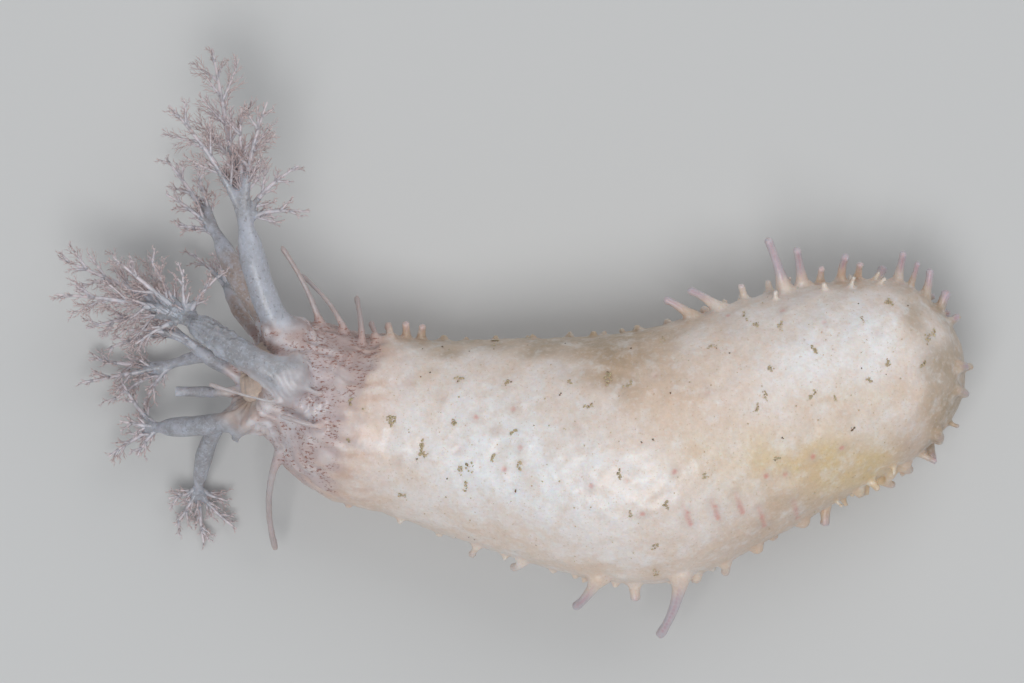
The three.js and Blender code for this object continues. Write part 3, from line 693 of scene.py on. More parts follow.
def noise_mask_group():
    """A soft mask: noise between two levels, times an amount."""
    tree, nodes, links, given, result = group(
        "Noise mask",
        [("Vector", "Vector", None), ("Scale", "Float", 1.0), ("Low", "Float", 0.45), ("High", "Float", 0.65),
         ("Amount", "Float", 1.0)],
        [("Mask", "Float")],
    )
    spread = nodes.new("ShaderNodeMapRange")
    spread.interpolation_type = "SMOOTHSTEP"
    links.new(group_noise(nodes, links, given, 4.0, 0.62), spread.inputs["Value"])
    links.new(given.outputs["Low"], spread.inputs["From Min"])
    links.new(given.outputs["High"], spread.inputs["From Max"])
    mask = math_node(nodes, links, "MULTIPLY", spread.outputs["Result"], given.outputs["Amount"])
    links.new(mask, result.inputs["Mask"])
    return tree


def sunken_feet_group():
    """Masks of the drawn-in feet from the gap to the nearest one: a faint soft round patch, and a dot in
    its middle that is as strong as its red value."""
    tree, nodes, links, given, result = group(
        "Drawn-in feet",
        [("Gap", "Float", 2.0), ("Red", "Float", 0.0)],
        [("Patch", "Float"), ("Dot", "Float")],
    )
    masks = []
    for near, far in ((0.3, 0.85), (0.02, 0.36)):
        node = nodes.new("ShaderNodeMapRange")
        node.interpolation_type = "SMOOTHSTEP"
        for name, value in (("From Min", near), ("From Max", far), ("To Min", 1.0), ("To Max", 0.0)):
            node.inputs[name].default_value = value
        links.new(given.outputs["Gap"], node.inputs["Value"])
        masks.append(node.outputs["Result"])
    links.new(masks[0], result.inputs["Patch"])
    links.new(math_node(nodes, links, "MULTIPLY", masks[1], given.outputs["Red"]), result.inputs["Dot"])
    return tree


def new_material(name, roughness, subsurface, radius, coat):
    """A material with a Principled shader set for soft wet tissue, and object coordinates in millimetres."""
    material = bpy.data.materials.new(name)
    material.use_nodes = True
    nodes = material.node_tree.nodes
    shader = nodes["Principled BSDF"]
    for label, value in (("Roughness", roughness), ("Subsurface Weight", subsurface),
                         ("Subsurface Radius", radius), ("Subsurface Scale", MM),
                         ("Coat Weight", coat), ("Coat Roughness", 0.22)):
        shader.inputs[label].default_value = value
    where = nodes.new("ShaderNodeTexCoord")
    scale = nodes.new("ShaderNodeVectorMath")
    scale.operation = "SCALE"
    scale.inputs["Scale"].default_value = 1 / MM
    material.node_tree.links.new(where.outputs["Object"], scale.inputs[0])
    return material, nodes, material.node_tree.links, shader, scale.outputs["Vector"]


def attribute(nodes, name, output="Fac"):
    """An output of a painted attribute: its value, or its colour."""
    node = nodes.new("ShaderNodeAttribute")
    node.attribute_name = name
    return node.outputs[output]


def placed(nodes, links, tree, **values):
    """A node group, whose inputs are linked to output sockets or set to numbers."""
    node = nodes.new("ShaderNodeGroup")
    node.node_tree = tree
    for name, value in values.items():
        feed(links, node.inputs[name], value)
    return node.outputs


def blend_node(nodes, links, share, a, b):
    """Mixes colour a to colour b; each is an output socket or a fixed colour."""
    node = nodes.new("ShaderNodeMix")
    node.data_type = "RGBA"
    links.new(share, node.inputs[0])
    for socket, value in ((node.inputs[6], a), (node.inputs[7], b)):
        if isinstance(value, bpy.types.NodeSocket):
            links.new(value, socket)
        else:
            socket.default_value = (*value, 1.0)
    return node.outputs[2]


def times(nodes, links, a, b):
    """Product of two values from 0 to 1."""
    return math_node(nodes, links, "MULTIPLY", a, b, clamp=True)


def clouded(nodes, links, tree, mm, colour, share, clouds):
    """A colour under soft clouds, as strong as the share. Each cloud is its noise scale, the noise's low and
    high level, its amount and its colour."""
    for scale, low, high, amount, hue in clouds:
        mask = placed(nodes, links, tree, Vector=mm, Scale=scale, Low=low, High=high, Amount=amount)["Mask"]
        colour = blend_node(nodes, links, times(nodes, links, mask, share), colour, hue)
    return colour


def skin_material(looks, groups):
    """The skin: the painted tint, soft peach clouds and fine beige and golden speckles on the body wall,
    the drawn-in feet, reddish-brown strokes where their density is painted, and a finely wrinkled bump."""
    material, nodes, links, shader, mm = new_material("wet_skin", 0.4, 0.4, (1.6, 1.0, 0.7), 0.3)
    wall = attribute(nodes, "wall")
    # The painted tint carries painted light, painted shade and painted highlights.
    tint = attribute(nodes, "tint", "Color")
    colour = clouded(nodes, links, groups["Noise mask"], mm, tint, wall, (
        (0.4, 0.42, 0.64, 0.35, looks.peach_colour),
        (0.7, 0.48, 0.7, 0.35, looks.white_and_painted_light_colour),
        (1.7, 0.46, 0.7, 0.25, looks.peach_colour),
        (2.6, 0.5, 0.7, 0.2, looks.white_and_painted_light_colour),
        (5.5, 0.6, 0.69, 0.5, looks.speck_colour),
    ))
    colour = clouded(nodes, links, groups["Noise mask"], mm, colour, attribute(nodes, "stalk"), (
        (1.3, 0.44, 0.7, 0.45, looks.pale_and_painted_light_colour),
        (4.5, 0.5, 0.66, 0.5, looks.pale_and_painted_light_colour),
        (3.1, 0.57, 0.68, 0.55, looks.shade_colour),
    ))
    gap, red = (attribute(nodes, name) for name in ("spot_gap", "spot_red"))
    feet = placed(nodes, links, groups["Drawn-in feet"], Gap=gap, Red=red)
    for mask, amount, hue in (("Patch", 0.3, looks.sunk_colour), ("Dot", 0.75, looks.spot_colour)):
        share = times(nodes, links, feet[mask], times(nodes, links, wall, amount))
        colour = blend_node(nodes, links, share, colour, hue)
    fine = placed(nodes, links, groups["Soft mottling"], Vector=mm, Color=colour, Scale=3.0, Amount=0.26)
    stretch = nodes.new("ShaderNodeVectorMath")
    stretch.operation = "MULTIPLY"
    stretch.inputs[1].default_value = (0.6, 1.15, 1.0)
    links.new(mm, stretch.inputs[0])
    strokes = placed(nodes, links, groups["Skin flecks"], Vector=stretch.outputs["Vector"], Scale=5.0,
                     Density=attribute(nodes, "fleck_density"))
    colour = blend_node(nodes, links, strokes["Mask"], fine["Color"], looks.fleck_colour)
    links.new(colour, shader.inputs["Base Color"])
    noise = nodes.new("ShaderNodeTexNoise")
    noise.inputs["Scale"].default_value = 3.6
    noise.inputs["Detail"].default_value = 6.0
    links.new(mm, noise.inputs["Vector"])
    bump = nodes.new("ShaderNodeBump")
    bump.inputs["Strength"].default_value = 0.4
    bump.inputs["Distance"].default_value = 0.07 * MM
    links.new(noise.outputs["Fac"], bump.inputs["Height"])
    links.new(bump.outputs["Normal"], shader.inputs["Normal"])
    return material


def crown_material(looks, groups):
    """The twigs: pale bluish axes, partly painted highlight, that turn lilac pink towards the finest tips,
    with dark flecks.
    """
    material, nodes, links, shader, mm = new_material("wet_twigs", 0.38, 0.5, (1.0, 0.7, 0.6), 0.25)
    # The whitish blue of the axes is partly a painted highlight.
    base = blend_node(nodes, links, attribute(nodes, "tone"), looks.axis_and_highlight_colour, looks.twig_colour)
    pale = placed(nodes, links, groups["Noise mask"], Vector=mm, Scale=0.5, Low=0.45, High=0.65, Amount=0.55)
    base = blend_node(nodes, links, pale["Mask"], base, looks.pale_twig_colour)
    soft = placed(nodes, links, groups["Soft mottling"], Vector=mm, Color=base, Scale=1.2, Amount=0.6)
    dark = placed(nodes, links, groups["Skin flecks"], Vector=mm, Scale=2.0, Density=0.55)
    colour = blend_node(nodes, links, dark["Mask"], soft["Color"], looks.twig_fleck_colour)
    links.new(colour, shader.inputs["Base Color"])
    return material


def tone_material(name, first, second, groups, coat):
    """A two-colour material: the painted tone runs from the first colour to the second, mottled."""
    material, nodes, links, shader, mm = new_material(name, 0.55, 0.25, (1.0, 0.6, 0.4), coat)
    base = blend_node(nodes, links, attribute(nodes, "tone"), first, second)
    soft = placed(nodes, links, groups["Soft mottling"], Vector=mm, Color=base, Scale=2.2, Amount=0.8)
    links.new(soft["Color"], shader.inputs["Base Color"])
    return material


def shared_groups():
    """The node groups by name, built at their first use."""
    makers = {"Skin flecks": flecks_group, "Soft mottling": mottle_group, "Noise mask": noise_mask_group,
              "Drawn-in feet": sunken_feet_group}
    return {name: bpy.data.node_groups.get(name) or make() for name, make in makers.items()}


def colour_property(name, description, default):
    return FloatVectorProperty(
        name=name, description=description, default=default, subtype="COLOR", size=3, min=0.0, max=1.0
    )


class SkinLooks(bpy.types.PropertyGroup):
    """Sizes and colours of the skin."""
    voxel: FloatProperty(name="Voxel", description="Cell of the remesh that joins the skin, in millimetres",
                         default=0.14, min=0.08, max=0.5)
    triangles: IntProperty(name="Triangles", description="Most triangles that the skin keeps",
                           default=194000, min=20000, max=199000)
    wrinkle: FloatProperty(name="Wrinkle", description="Depth of the skin's soft wrinkles, in millimetres",
                           default=0.045, min=0.0, max=0.3)
    wall_colour: colour_property("Body wall", "Creamy white of the body wall", (0.80, 0.71, 0.66))
    # Cool white of random clouds in the wall, and the painted pools of light on the middle and the rear of
    # the wall.
    white_and_painted_light_colour: colour_property("White clouds", "Cool white clouds in the wall", (0.85, 0.86, 0.88))
    peach_colour: colour_property("Peach clouds", "Peach beige clouds in the wall", (0.69, 0.515, 0.385))
    # Brownish beige of the upper flank, darkened as painted shade there and along the upper rear edge.
    flank_shade_colour: colour_property("Upper flank", "Brownish beige along the inner side of the bend",
                                  (0.48, 0.335, 0.215))
    # Painted shade: brown on the inner edge in front and over the tail.
    edge_shade_colour: colour_property("Edges", "Shaded brown of the inner edge and the tail", (0.38, 0.285, 0.19))
    yellow_colour: colour_property("Yellow tinge", "Soft yellow patches of the rear half", (0.70, 0.53, 0.29))
    # Brownish rose low on the rear half, darkened as painted shade.
    lower_flank_shade_colour: colour_property("Lower flank", "Brownish rose low on the rear half", (0.55, 0.41, 0.31))
    blush_colour: colour_property("Blush", "Pink streaks behind the introvert", (0.62, 0.44, 0.36))
    speck_colour: colour_property("Specks", "Golden specks on the wall", (0.52, 0.36, 0.2))
    introvert_colour: colour_property("Introvert", "Pinkish lilac of the narrow front part",
                                      (0.52, 0.435, 0.44))
    rusty_colour: colour_property("Rusty side", "Reddish brown ground of the introvert's upper side",
                                  (0.40, 0.275, 0.245))
    lip_colour: colour_property("Mouth rim", "Beige of the skin round the mouth", (0.48, 0.34, 0.25))
    foot_colour: colour_property("Feet", "Translucent lilac grey of the tube feet", (0.46, 0.425, 0.475))
    core_colour: colour_property("Foot cores", "Purple pink line inside the feet", (0.45, 0.24, 0.29))
    spot_colour: colour_property("Spots", "Red pink inside the drawn-in feet", (0.66, 0.28, 0.24))
    sunk_colour: colour_property("Drawn-in feet", "Greyish beige of the drawn-in feet", (0.58, 0.48, 0.43))
    stalk_colour: colour_property("Stalks", "Translucent grey of the tentacle stalks", (0.31, 0.31, 0.33))
    # Whitish blue streaks of the stalks, and painted light on the first stalk.
    pale_and_painted_light_colour: colour_property("Pale streaks", "Whitish blue streaks of the stalks", (0.52, 0.55, 0.63))
    shade_colour: colour_property("Shade", "Dark patches of the stalks", (0.17, 0.165, 0.18))
    haze_colour: colour_property("Brown haze", "Translucent brown of the stalk behind", (0.42, 0.31, 0.25))
    # Painted highlight: white on the wet folds at the tentacles' roots and above the mouth.
    painted_highlight_colour: colour_property("Folds", "White of the wet folds at the tentacles' roots",
                                  (0.80, 0.82, 0.88))
    fleck_colour: colour_property("Flecks", "Reddish brown of the introvert's strokes", (0.29, 0.14, 0.11))


class CrownLooks(bpy.types.PropertyGroup):
    """Sizes and colours of the branched crowns and the oral disc."""
    twig_radius: FloatProperty(name="Twig radius",
                               description="Radius of a side twig at its root, in millimetres",
                               default=0.15, min=0.05, max=0.5)
    # Whitish blue of the main branches, partly a painted highlight on their axes.
    axis_and_highlight_colour: colour_property("Branch axes", "Whitish blue of the main branches", (0.58, 0.59, 0.65))
    twig_colour: colour_property("Twigs", "Lilac pink of the finest twigs", (0.66, 0.46, 0.43))
    pale_twig_colour: colour_property("Pale twigs", "Paler patches of the twigs", (0.76, 0.66, 0.71))
    twig_fleck_colour: colour_property("Twig flecks", "Dark brown flecks on the branches", (0.16, 0.09, 0.08))
    disc_colour: colour_property("Oral disc", "Beige brown of the oral disc", (0.62, 0.49, 0.41))
    # Painted shade: dark brown in the mouth's pit, laid on by its depth.
    mouth_shade_colour: colour_property("Mouth", "Dark brown inside the mouth's folds", (0.12, 0.06, 0.045))


class SiltLooks(bpy.types.PropertyGroup):
    """Amount and colours of the silt that sticks to the skin."""
    grains: IntProperty(name="Grains", description="Number of single grains over the skin",
                        default=240, min=0, max=2000)
    silt_colour: colour_property("Silt", "Golden brown of the crumbs", (0.58, 0.46, 0.28))
    grain_colour: colour_property("Dark grains", "Dark brown of the dark grains", (0.13, 0.075, 0.04))


class StageLooks(bpy.types.PropertyGroup):
    """Floor and light."""
    floor_colour: colour_property("Floor", "Plain pale floor", (0.60, 0.60, 0.595))
    key_strength: FloatProperty(name="Key light", description="Power of the large key light",
                                default=2.7, min=0.0, unit="POWER")
    fill_strength: FloatProperty(name="Fill light", description="Power of the fill light",
                                 default=1.5, min=0.0, unit="POWER")


def stalk_path(tentacle):
    """The stalk's path from deep inside the introvert, through the ring, to its end, and the share of the
    way from the ring to the end at each step, which is below 0 inside."""
    centre, out, radial = ring_place(tentacle)
    inside = centre + radial * (RING_RADIUS * 0.45) - out * 3.4
    line = stalk_curve(tentacle)
    t = np.linspace(0.06, 1, STALK_STEPS)
    first = bezier(line[None], t[None, :1])[0][0, 0]
    lead_line = np.stack([inside, line[0] - out * 0.7, first])[None]
    lead = bezier(lead_line, np.linspace(0, 0.86, LEAD_STEPS)[None])[0][0]
    path = np.concatenate([lead, bezier(line[None], t[None])[0][0]])
    return path, np.concatenate([np.linspace(-0.4, 0, LEAD_STEPS), t])


def stalk_tubes():
    """Every stalk as a tube that flares at its root, with the first stretch of the crown's main branches,
    and the blunt lobes of the two small tentacles."""
    parts = []
    for number, tentacle in enumerate(TENTACLES):
        _, base, neck, _, _, fan = tentacle
        line = stalk_curve(tentacle)
        axis = unit(line[2] - line[1])
        path, t = stalk_path(tentacle)
        swell = 1 + 0.04 * np.sin(t * 17 + number) + 0.7 * np.clip(1 - t * 2.9, 0, 1) ** 1.6
        swell *= 1 - 0.45 * smoothstep(-t, 0, 0.4)
        radii = (base + (neck - base) * t) * swell
        parts.append(tubes(path[None], radii[None], 24))
        if not fan:
            across = unit(np.cross(UP, axis))
            for hand in (-1, 0, 1):
                lobe = np.stack([line[2] - axis * 0.5, line[2] + axis * 0.2 + across * hand * 0.3,
                                 line[2] + axis * 0.6 + across * hand * 0.42])
                parts.append(tubes(lobe[None], neck * np.array([[0.6, 0.58, 0.42]]), 14))
            continue
        start, mains, _ = crown_curves(tentacle, number)
        head = np.stack([line[2] - axis * 0.4, line[2] + axis * 0.3, start + axis * 0.3])
        parts.append(tubes(head[None], neck * np.array([[0.97, 0.85, 0.55]]), 24))
        for main, (_, length) in zip(mains, fan):
            t = np.linspace(0.02, 0.5, 12)
            path = bezier(main[None], t[None])[0][0]
            lead = np.stack([line[2] - axis * 1.0, line[2] - axis * 0.4])
            radii = main_radius(length) * (1 - 0.62 * t) + 0.26 * neck * np.maximum(0, 1 - t * 4.5) ** 2
            path, radii = np.concatenate([lead, path]), np.concatenate([[neck * 0.3, neck * 0.45], radii])
            parts.append(tubes(path[None], radii[None], 12))
    return parts


def body_tube():
    """The body as one closed surface: ellipses along the middle line, closer together towards the tail,
    with a low step where the body wall ends."""
    rows, cols = 300, 160
    share = np.linspace(0, 1, rows)
    x = MOUTH_X + (TAIL_X - 0.004 - MOUTH_X) * np.sin(share * math.pi / 2) ** 0.92
    angle = np.linspace(0, 360, cols, endpoint=False)
    grid_x, grid_angle = np.meshgrid(x, angle, indexing="ij")
    edge = collar_edge(grid_angle)
    step = 0.12 * smoothstep(grid_x, edge - 0.6, edge + 0.5) * (1 - smoothstep(grid_x, edge + 0.8, edge + 4))
    fade = np.clip((TAIL_X - grid_x) / 3, 0, 1)
    points = surface_at(grid_x, grid_angle, step * fade)[0]
    first, last = points[:cols].mean(0), points[-cols:].mean(0)
    points = np.concatenate([points, [first, last]])
    return points, *ring_faces(rows, cols), np.zeros(len(points))


def collar_edge(angle):
    """x where the body wall ends, a slow uneven wave round the body."""
    turn = np.radians(angle)
    return COLLAR_X + 0.45 * np.sin(turn * 3 + 0.7) + 0.25 * np.sin(turn * 7 + 2.1) + 0.12 * np.sin(turn * 17)


def body_place(points):
    """Where points lie on the body: x of the nearest middle point, angle round it, and how far they stand
    out of the plain ellipse."""
    table = np.linspace(MOUTH_X - 3, TAIL_X, 700)
    middle, wide, high, along, side, up = section_at(table)
    near = nearest_of(points, middle)[0]
    away = points - middle[near]
    a = (away * side[near]).sum(-1) / np.maximum(wide[near], 0.6)
    b = (away * up[near]).sum(-1) / np.maximum(high[near], 0.6)
    ends = (away * along[near]).sum(-1)
    out = (np.hypot(a, b) - 1) * np.minimum(wide[near], high[near])
    return table[near] + ends, np.degrees(np.arctan2(b, a)), out


def blob(u, v, middle, size):
    """A soft round patch in two coordinates: exp of minus the squares of the ways from its middle, each
    over its own size."""
    return np.exp(-((u - middle[0]) / size[0]) ** 2 - ((v - middle[1]) / size[1]) ** 2)


def closeness(points, targets, reach, power):
    """1 at the targets and falling beyond their reach: exp of minus a power of distance over reach."""
    return np.exp(-(nearest_of(points, np.atleast_2d(targets))[1] / reach) ** power)


def laid_over(ground, points, layers):
    """A colour at every point, with each (colour, share) of the layers laid over it in turn."""
    tint = np.broadcast_to(ground[:], (len(points), 3))
    for colour, share in layers:
        tint = mix(tint, colour[:], share)
    return tint


def wall_tint(looks, points, x, across, soft):
    """Tint of the thick body wall, from soft zones along and round the body: painted pools of light on the
    middle and the rear, the beige saddle, painted shade on the upper flank and the brown inner edge, the rosy
    lower flank darkened as painted shade, the yellow band, and painted shade over the tail with a painted
    highlight left on it."""
    y = points[:, 1]
    begin = 0.75 - 0.45 * np.exp(-((x - 1) / 7) ** 2)
    # Masks of painted shade: flank and brow on the upper side, inner on the upper edge in front, under low on
    # the rear half.
    flank = smoothstep(across + 0.12 * soft, begin, begin + 0.5) * (1 - 0.8 * smoothstep(x, 7, 13))
    brow = smoothstep(across + 0.05 * soft, 0.8, 1.0) * np.exp(-((x - 19) / 4.5) ** 2)
    inner = 0.8 * smoothstep(across + 0.05 * soft, 0.78, 0.98) * (1 - smoothstep(x, 4, 9))
    under = smoothstep(-across + 0.1 * soft, 0.42, 0.9) * smoothstep(x, 1, 9)
    band = np.exp(-((y + 1.0) / 2.6) ** 2) * smoothstep(x, 1, 8) * (1 - smoothstep(x, 17, 21))
    band = band + 0.4 * blob(x, y, (17, 4.2), (4, 1.2))
    yellow = band * (0.5 + 0.5 * smoothstep(waves(points, 6.5, 28, 12) + 0.1 * (x - 8), -0.8, 1.4))
    amber = blob(x, y, (14, -1.2), (3.2, 1.3))
    # Painted shade over the tail, and shine, a painted highlight where the tail is kept light.
    tail = smoothstep(x + 0.8 * np.abs(across) + 0.6 * soft, 21.6, 24.8)
    shine = blob(x, across, (24.2, 0.55), (1.2, 0.3))
    return laid_over(looks.wall_colour, points, (
        (looks.peach_colour, 0.3 * smoothstep(waves(points, 6.5, 22, 14), -0.2, 1.4)),
        # The two white blobs are painted pools of light on the middle and the rear.
        (looks.white_and_painted_light_colour, 0.9 * blob(x, across, (-7, -0.12), (11, 0.6))),
        (looks.white_and_painted_light_colour, 0.85 * blob(x, across, (17, 0.38), (5.5, 0.42))),
        (looks.peach_colour, 0.7 * blob(x, across, (4, 0.4), (6, 0.4))),
        (looks.flank_shade_colour, 0.85 * flank),
        (looks.flank_shade_colour, 0.6 * brow),
        (looks.edge_shade_colour, inner),
        (looks.peach_colour, 0.45 * smoothstep(-across + 0.12 * soft, 0.7, 1.0)),
        (looks.lower_flank_shade_colour, 0.85 * under),
        (looks.yellow_colour, np.clip(0.85 * yellow + 0.75 * amber, 0, 0.9)),
        (looks.edge_shade_colour, 0.88 * tail * (1 - shine)),
    ))


def stalk_tint(looks, points):
    """Tint of the stalks: grey with pale streaks and dark patches, palest at the forks and on the first
    stalk, whose pale is painted light, and hazy brown on the two stalks behind it."""
    streaks = smoothstep(0.5 * waves(points, 1.1, 25, 14) + waves(points, 3.4, 31, 14), 0.0, 1.9)
    shade = smoothstep(waves(points, 3.2, 26, 14), 0.2, 1.6)
    # Painted light on the first stalk.
    first = closeness(points, stalk_path(TENTACLES[0])[0][8:], 1.5, 4)
    behind = np.concatenate([stalk_path(TENTACLES[k])[0][8:24] for k in (1, 9)])
    forks = closeness(points, stalk_points(0.97, 1.0), 1.4, 2)
    return laid_over(looks.stalk_colour, points, (
        (looks.pale_and_painted_light_colour, 0.5 * streaks + 0.45 * first * (1 - streaks)),
        (looks.shade_colour, 0.4 * shade * (1 - first)),
        (looks.haze_colour, 0.75 * closeness(points, behind, 1.4, 4)),
        (looks.pale_and_painted_light_colour, 0.7 * forks * smoothstep(waves(points, 1.3, 32, 12), -0.6, 0.8)),
    ))


def skin_marks(looks, points, spots, stems):
    """What the skin's material reads at each point, worked out from its place on the body: the tint, which
    holds painted light, painted shade and painted highlights, how much of the thick body wall and of the
    stalks there is, the density of brown strokes, the gap to the nearest drawn-in foot and how red that one
    is."""
    x, angle, out = body_place(points)
    across = np.cos(np.radians(angle))
    soft = waves(points, 4.5, 21, 14)
    streaky = smoothstep(waves(points * np.array([0.22, 1, 1]), 1.3, 33, 14), -0.3, 1.1)
    blush = (0.4 + 0.5 * streaky) * (1 - smoothstep(x, COLLAR_X + 0.5, COLLAR_X + 5.5))
    foot = smoothstep(out, 0.25, 1.5)
    core = closeness(points[:, :2], stems[:, :2], 0.11, 2) * foot
    edge = collar_edge(angle) + 0.5 * waves(points, 1.7, 29, 12)
    front = 1 - smoothstep(x, edge - 1.3, edge + 0.9)
    ground = laid_over(looks.introvert_colour, points, (
        (looks.white_and_painted_light_colour, 0.35 * smoothstep(waves(points, 2.1, 24, 12), -0.3, 1.3)),
        (looks.rusty_colour, 0.7 * smoothstep(across + 0.2 * soft, 0.15, 0.85)),
        (looks.blush_colour, 0.7 * smoothstep(x, edge - 4, edge) * (0.4 + 0.6 * streaky)),
    ))
    rim = closeness(points, MOUTH_RIM, 2.7, 2)
    # Painted highlights: white on the wet skin round the stalks' roots and on the folds above the mouth.
    root_highlights = closeness(points, stalk_points(-0.3, 0.22), 2.1, 2) * front * (1 - rim)
    root_highlights = root_highlights * smoothstep(waves(points, 1.5, 30, 12), -0.5, 0.9)
    folds = closeness(points, SHINY_FOLDS, 1.5, 4) * (0.4 + 0.6 * fold_wave(points))
    stalk_gap = nearest_of(points, stalk_points(0.12, 1.0))[1]
    clear = smoothstep(nearest_of(points, stems)[1] / (stalk_gap + 0.1), 0.35, 0.7)
    stalk = smoothstep(out, 0.5, 1.9) + smoothstep(-x, 29.0, 30.0)
    stalk = np.clip(stalk, 0, 1) * front * clear
    tint = laid_over(wall_tint(looks, points, x, across, soft), points, (
        (looks.blush_colour, blush),
        (looks.foot_colour, 0.5 * foot + 0.4 * smoothstep(out, 0.7, 2.0)),
        (looks.core_colour, 0.6 * core),
        (ground, front),
        (looks.stalk_colour, 0.55 * foot * front),
        (looks.lip_colour, 0.9 * rim * front),
        # Painted highlight on the wet folds.
        (looks.painted_highlight_colour, np.maximum(0.8 * root_highlights, 0.6 * folds)),
        (stalk_tint(looks, points), stalk),
    ))
    dense = 0.95 + 0.28 * waves(points, 2.6, 27, 12) + 0.4 * smoothstep(across, 0.1, 0.9)
    density = front * dense * (1 - 0.55 * stalk) * (1 - 0.7 * root_highlights) * (1 - 0.6 * rim)
    density = np.clip(density, 0, 1) * (1 - 0.7 * foot * (1 - stalk))
    nearest, apart = nearest_of(points, spots[:, :3])
    return {"tint": tint, "fleck_density": density, "wall": (1 - front) * (1 - foot), "stalk": stalk,
            "spot_gap": np.minimum(apart, 2.0), "spot_red": spots[nearest, 3]}


def fold_wave(points):
    """0 to 1 across the fine oblique folds between the tentacles' roots and the introvert."""
    across = points @ np.array([0.75, 0.6, 0.0])
    return 0.5 + 0.5 * np.sin(across * 2 * math.pi / FOLD_PITCH + 2.2 * waves(points, 2.3, 34, 10))


def stalk_points(low, high):
    """Points along every stalk between two shares of the way from the ring to its end."""
    found = []
    for tentacle in TENTACLES:
        path, share = stalk_path(tentacle)
        found.append(path[(share >= low) & (share <= high)])
    return np.concatenate(found)


def nearest_of(points, targets):
    """Index of the nearest target to each point, and its distance."""
    index, gap = np.empty(len(points), int), np.empty(len(points))
    for start in range(0, len(points), BLOCK):
        away = ((points[start:start + BLOCK, None] - targets[None]) ** 2).sum(-1)
        index[start:start + BLOCK] = away.argmin(1)
        gap[start:start + BLOCK] = np.sqrt(away.min(1))
    return index, gap


def drawn_in_spots():
    """Points and redness of the drawn-in feet: the list above, the lying feet as nine points each, and
    seeded ones low on both flanks."""
    listed = np.array(DRAWN_IN)
    lying = np.array([(x + step * 0.07, y - step * 0.17, 0.55 + 0.08 * step)
                      for x, y in LYING_FEET for step in range(-4, 5)])
    both = np.concatenate([listed, lying])
    random = np.random.default_rng(8)
    count = 40
    x, side = random.uniform(-18, 24, count), np.where(random.random(count) < 0.5, 0, 180)
    low = surface_at(x, side + np.where(side, 1, -1) * random.uniform(0, 60, count))[0]
    points = np.concatenate([surface_at(*upper_place(under_camera(both[:, :2])))[0], low])
    return np.concatenate([points, np.concatenate([both[:, 2], random.uniform(0, 0.6, count)])[:, None]], 1)


def stem_points(feet):
    """Points along the stems of the longer feet."""
    found = []
    for x, angle, _, tip in feet:
        point, out = (value[0] for value in surface_at(x, angle)[:2])
        length = np.linalg.norm(np.array(tip) - point)
        if length > 1.0:
            bend = point + (np.array(tip) - point) * FOOT_BEND_ALONG + out * length * FOOT_BEND_OUT
            found.append(bezier(np.array([[point, bend, tip]]), np.linspace(0.1, 0.92, 14)[None])[0][0])
    return np.concatenate(found)


def relax(points, edges, weight, turns):
    """Laplacian smoothing: each point moves to the mean of its neighbours by its weight, several times."""
    count = len(points)
    a, b = np.concatenate([edges, edges[:, ::-1]]).T
    number = np.maximum(np.bincount(a, minlength=count), 1)
    for _ in range(turns):
        mean = np.stack([np.bincount(a, points[b, k], count) / number for k in range(3)], 1)
        points = points + (mean - points) * weight[:, None]
    return points


def evaluated_mesh(context, piece):
    """A copy of the piece's mesh with its modifiers applied."""
    return bpy.data.meshes.new_from_object(piece.evaluated_get(context.evaluated_depsgraph_get()))


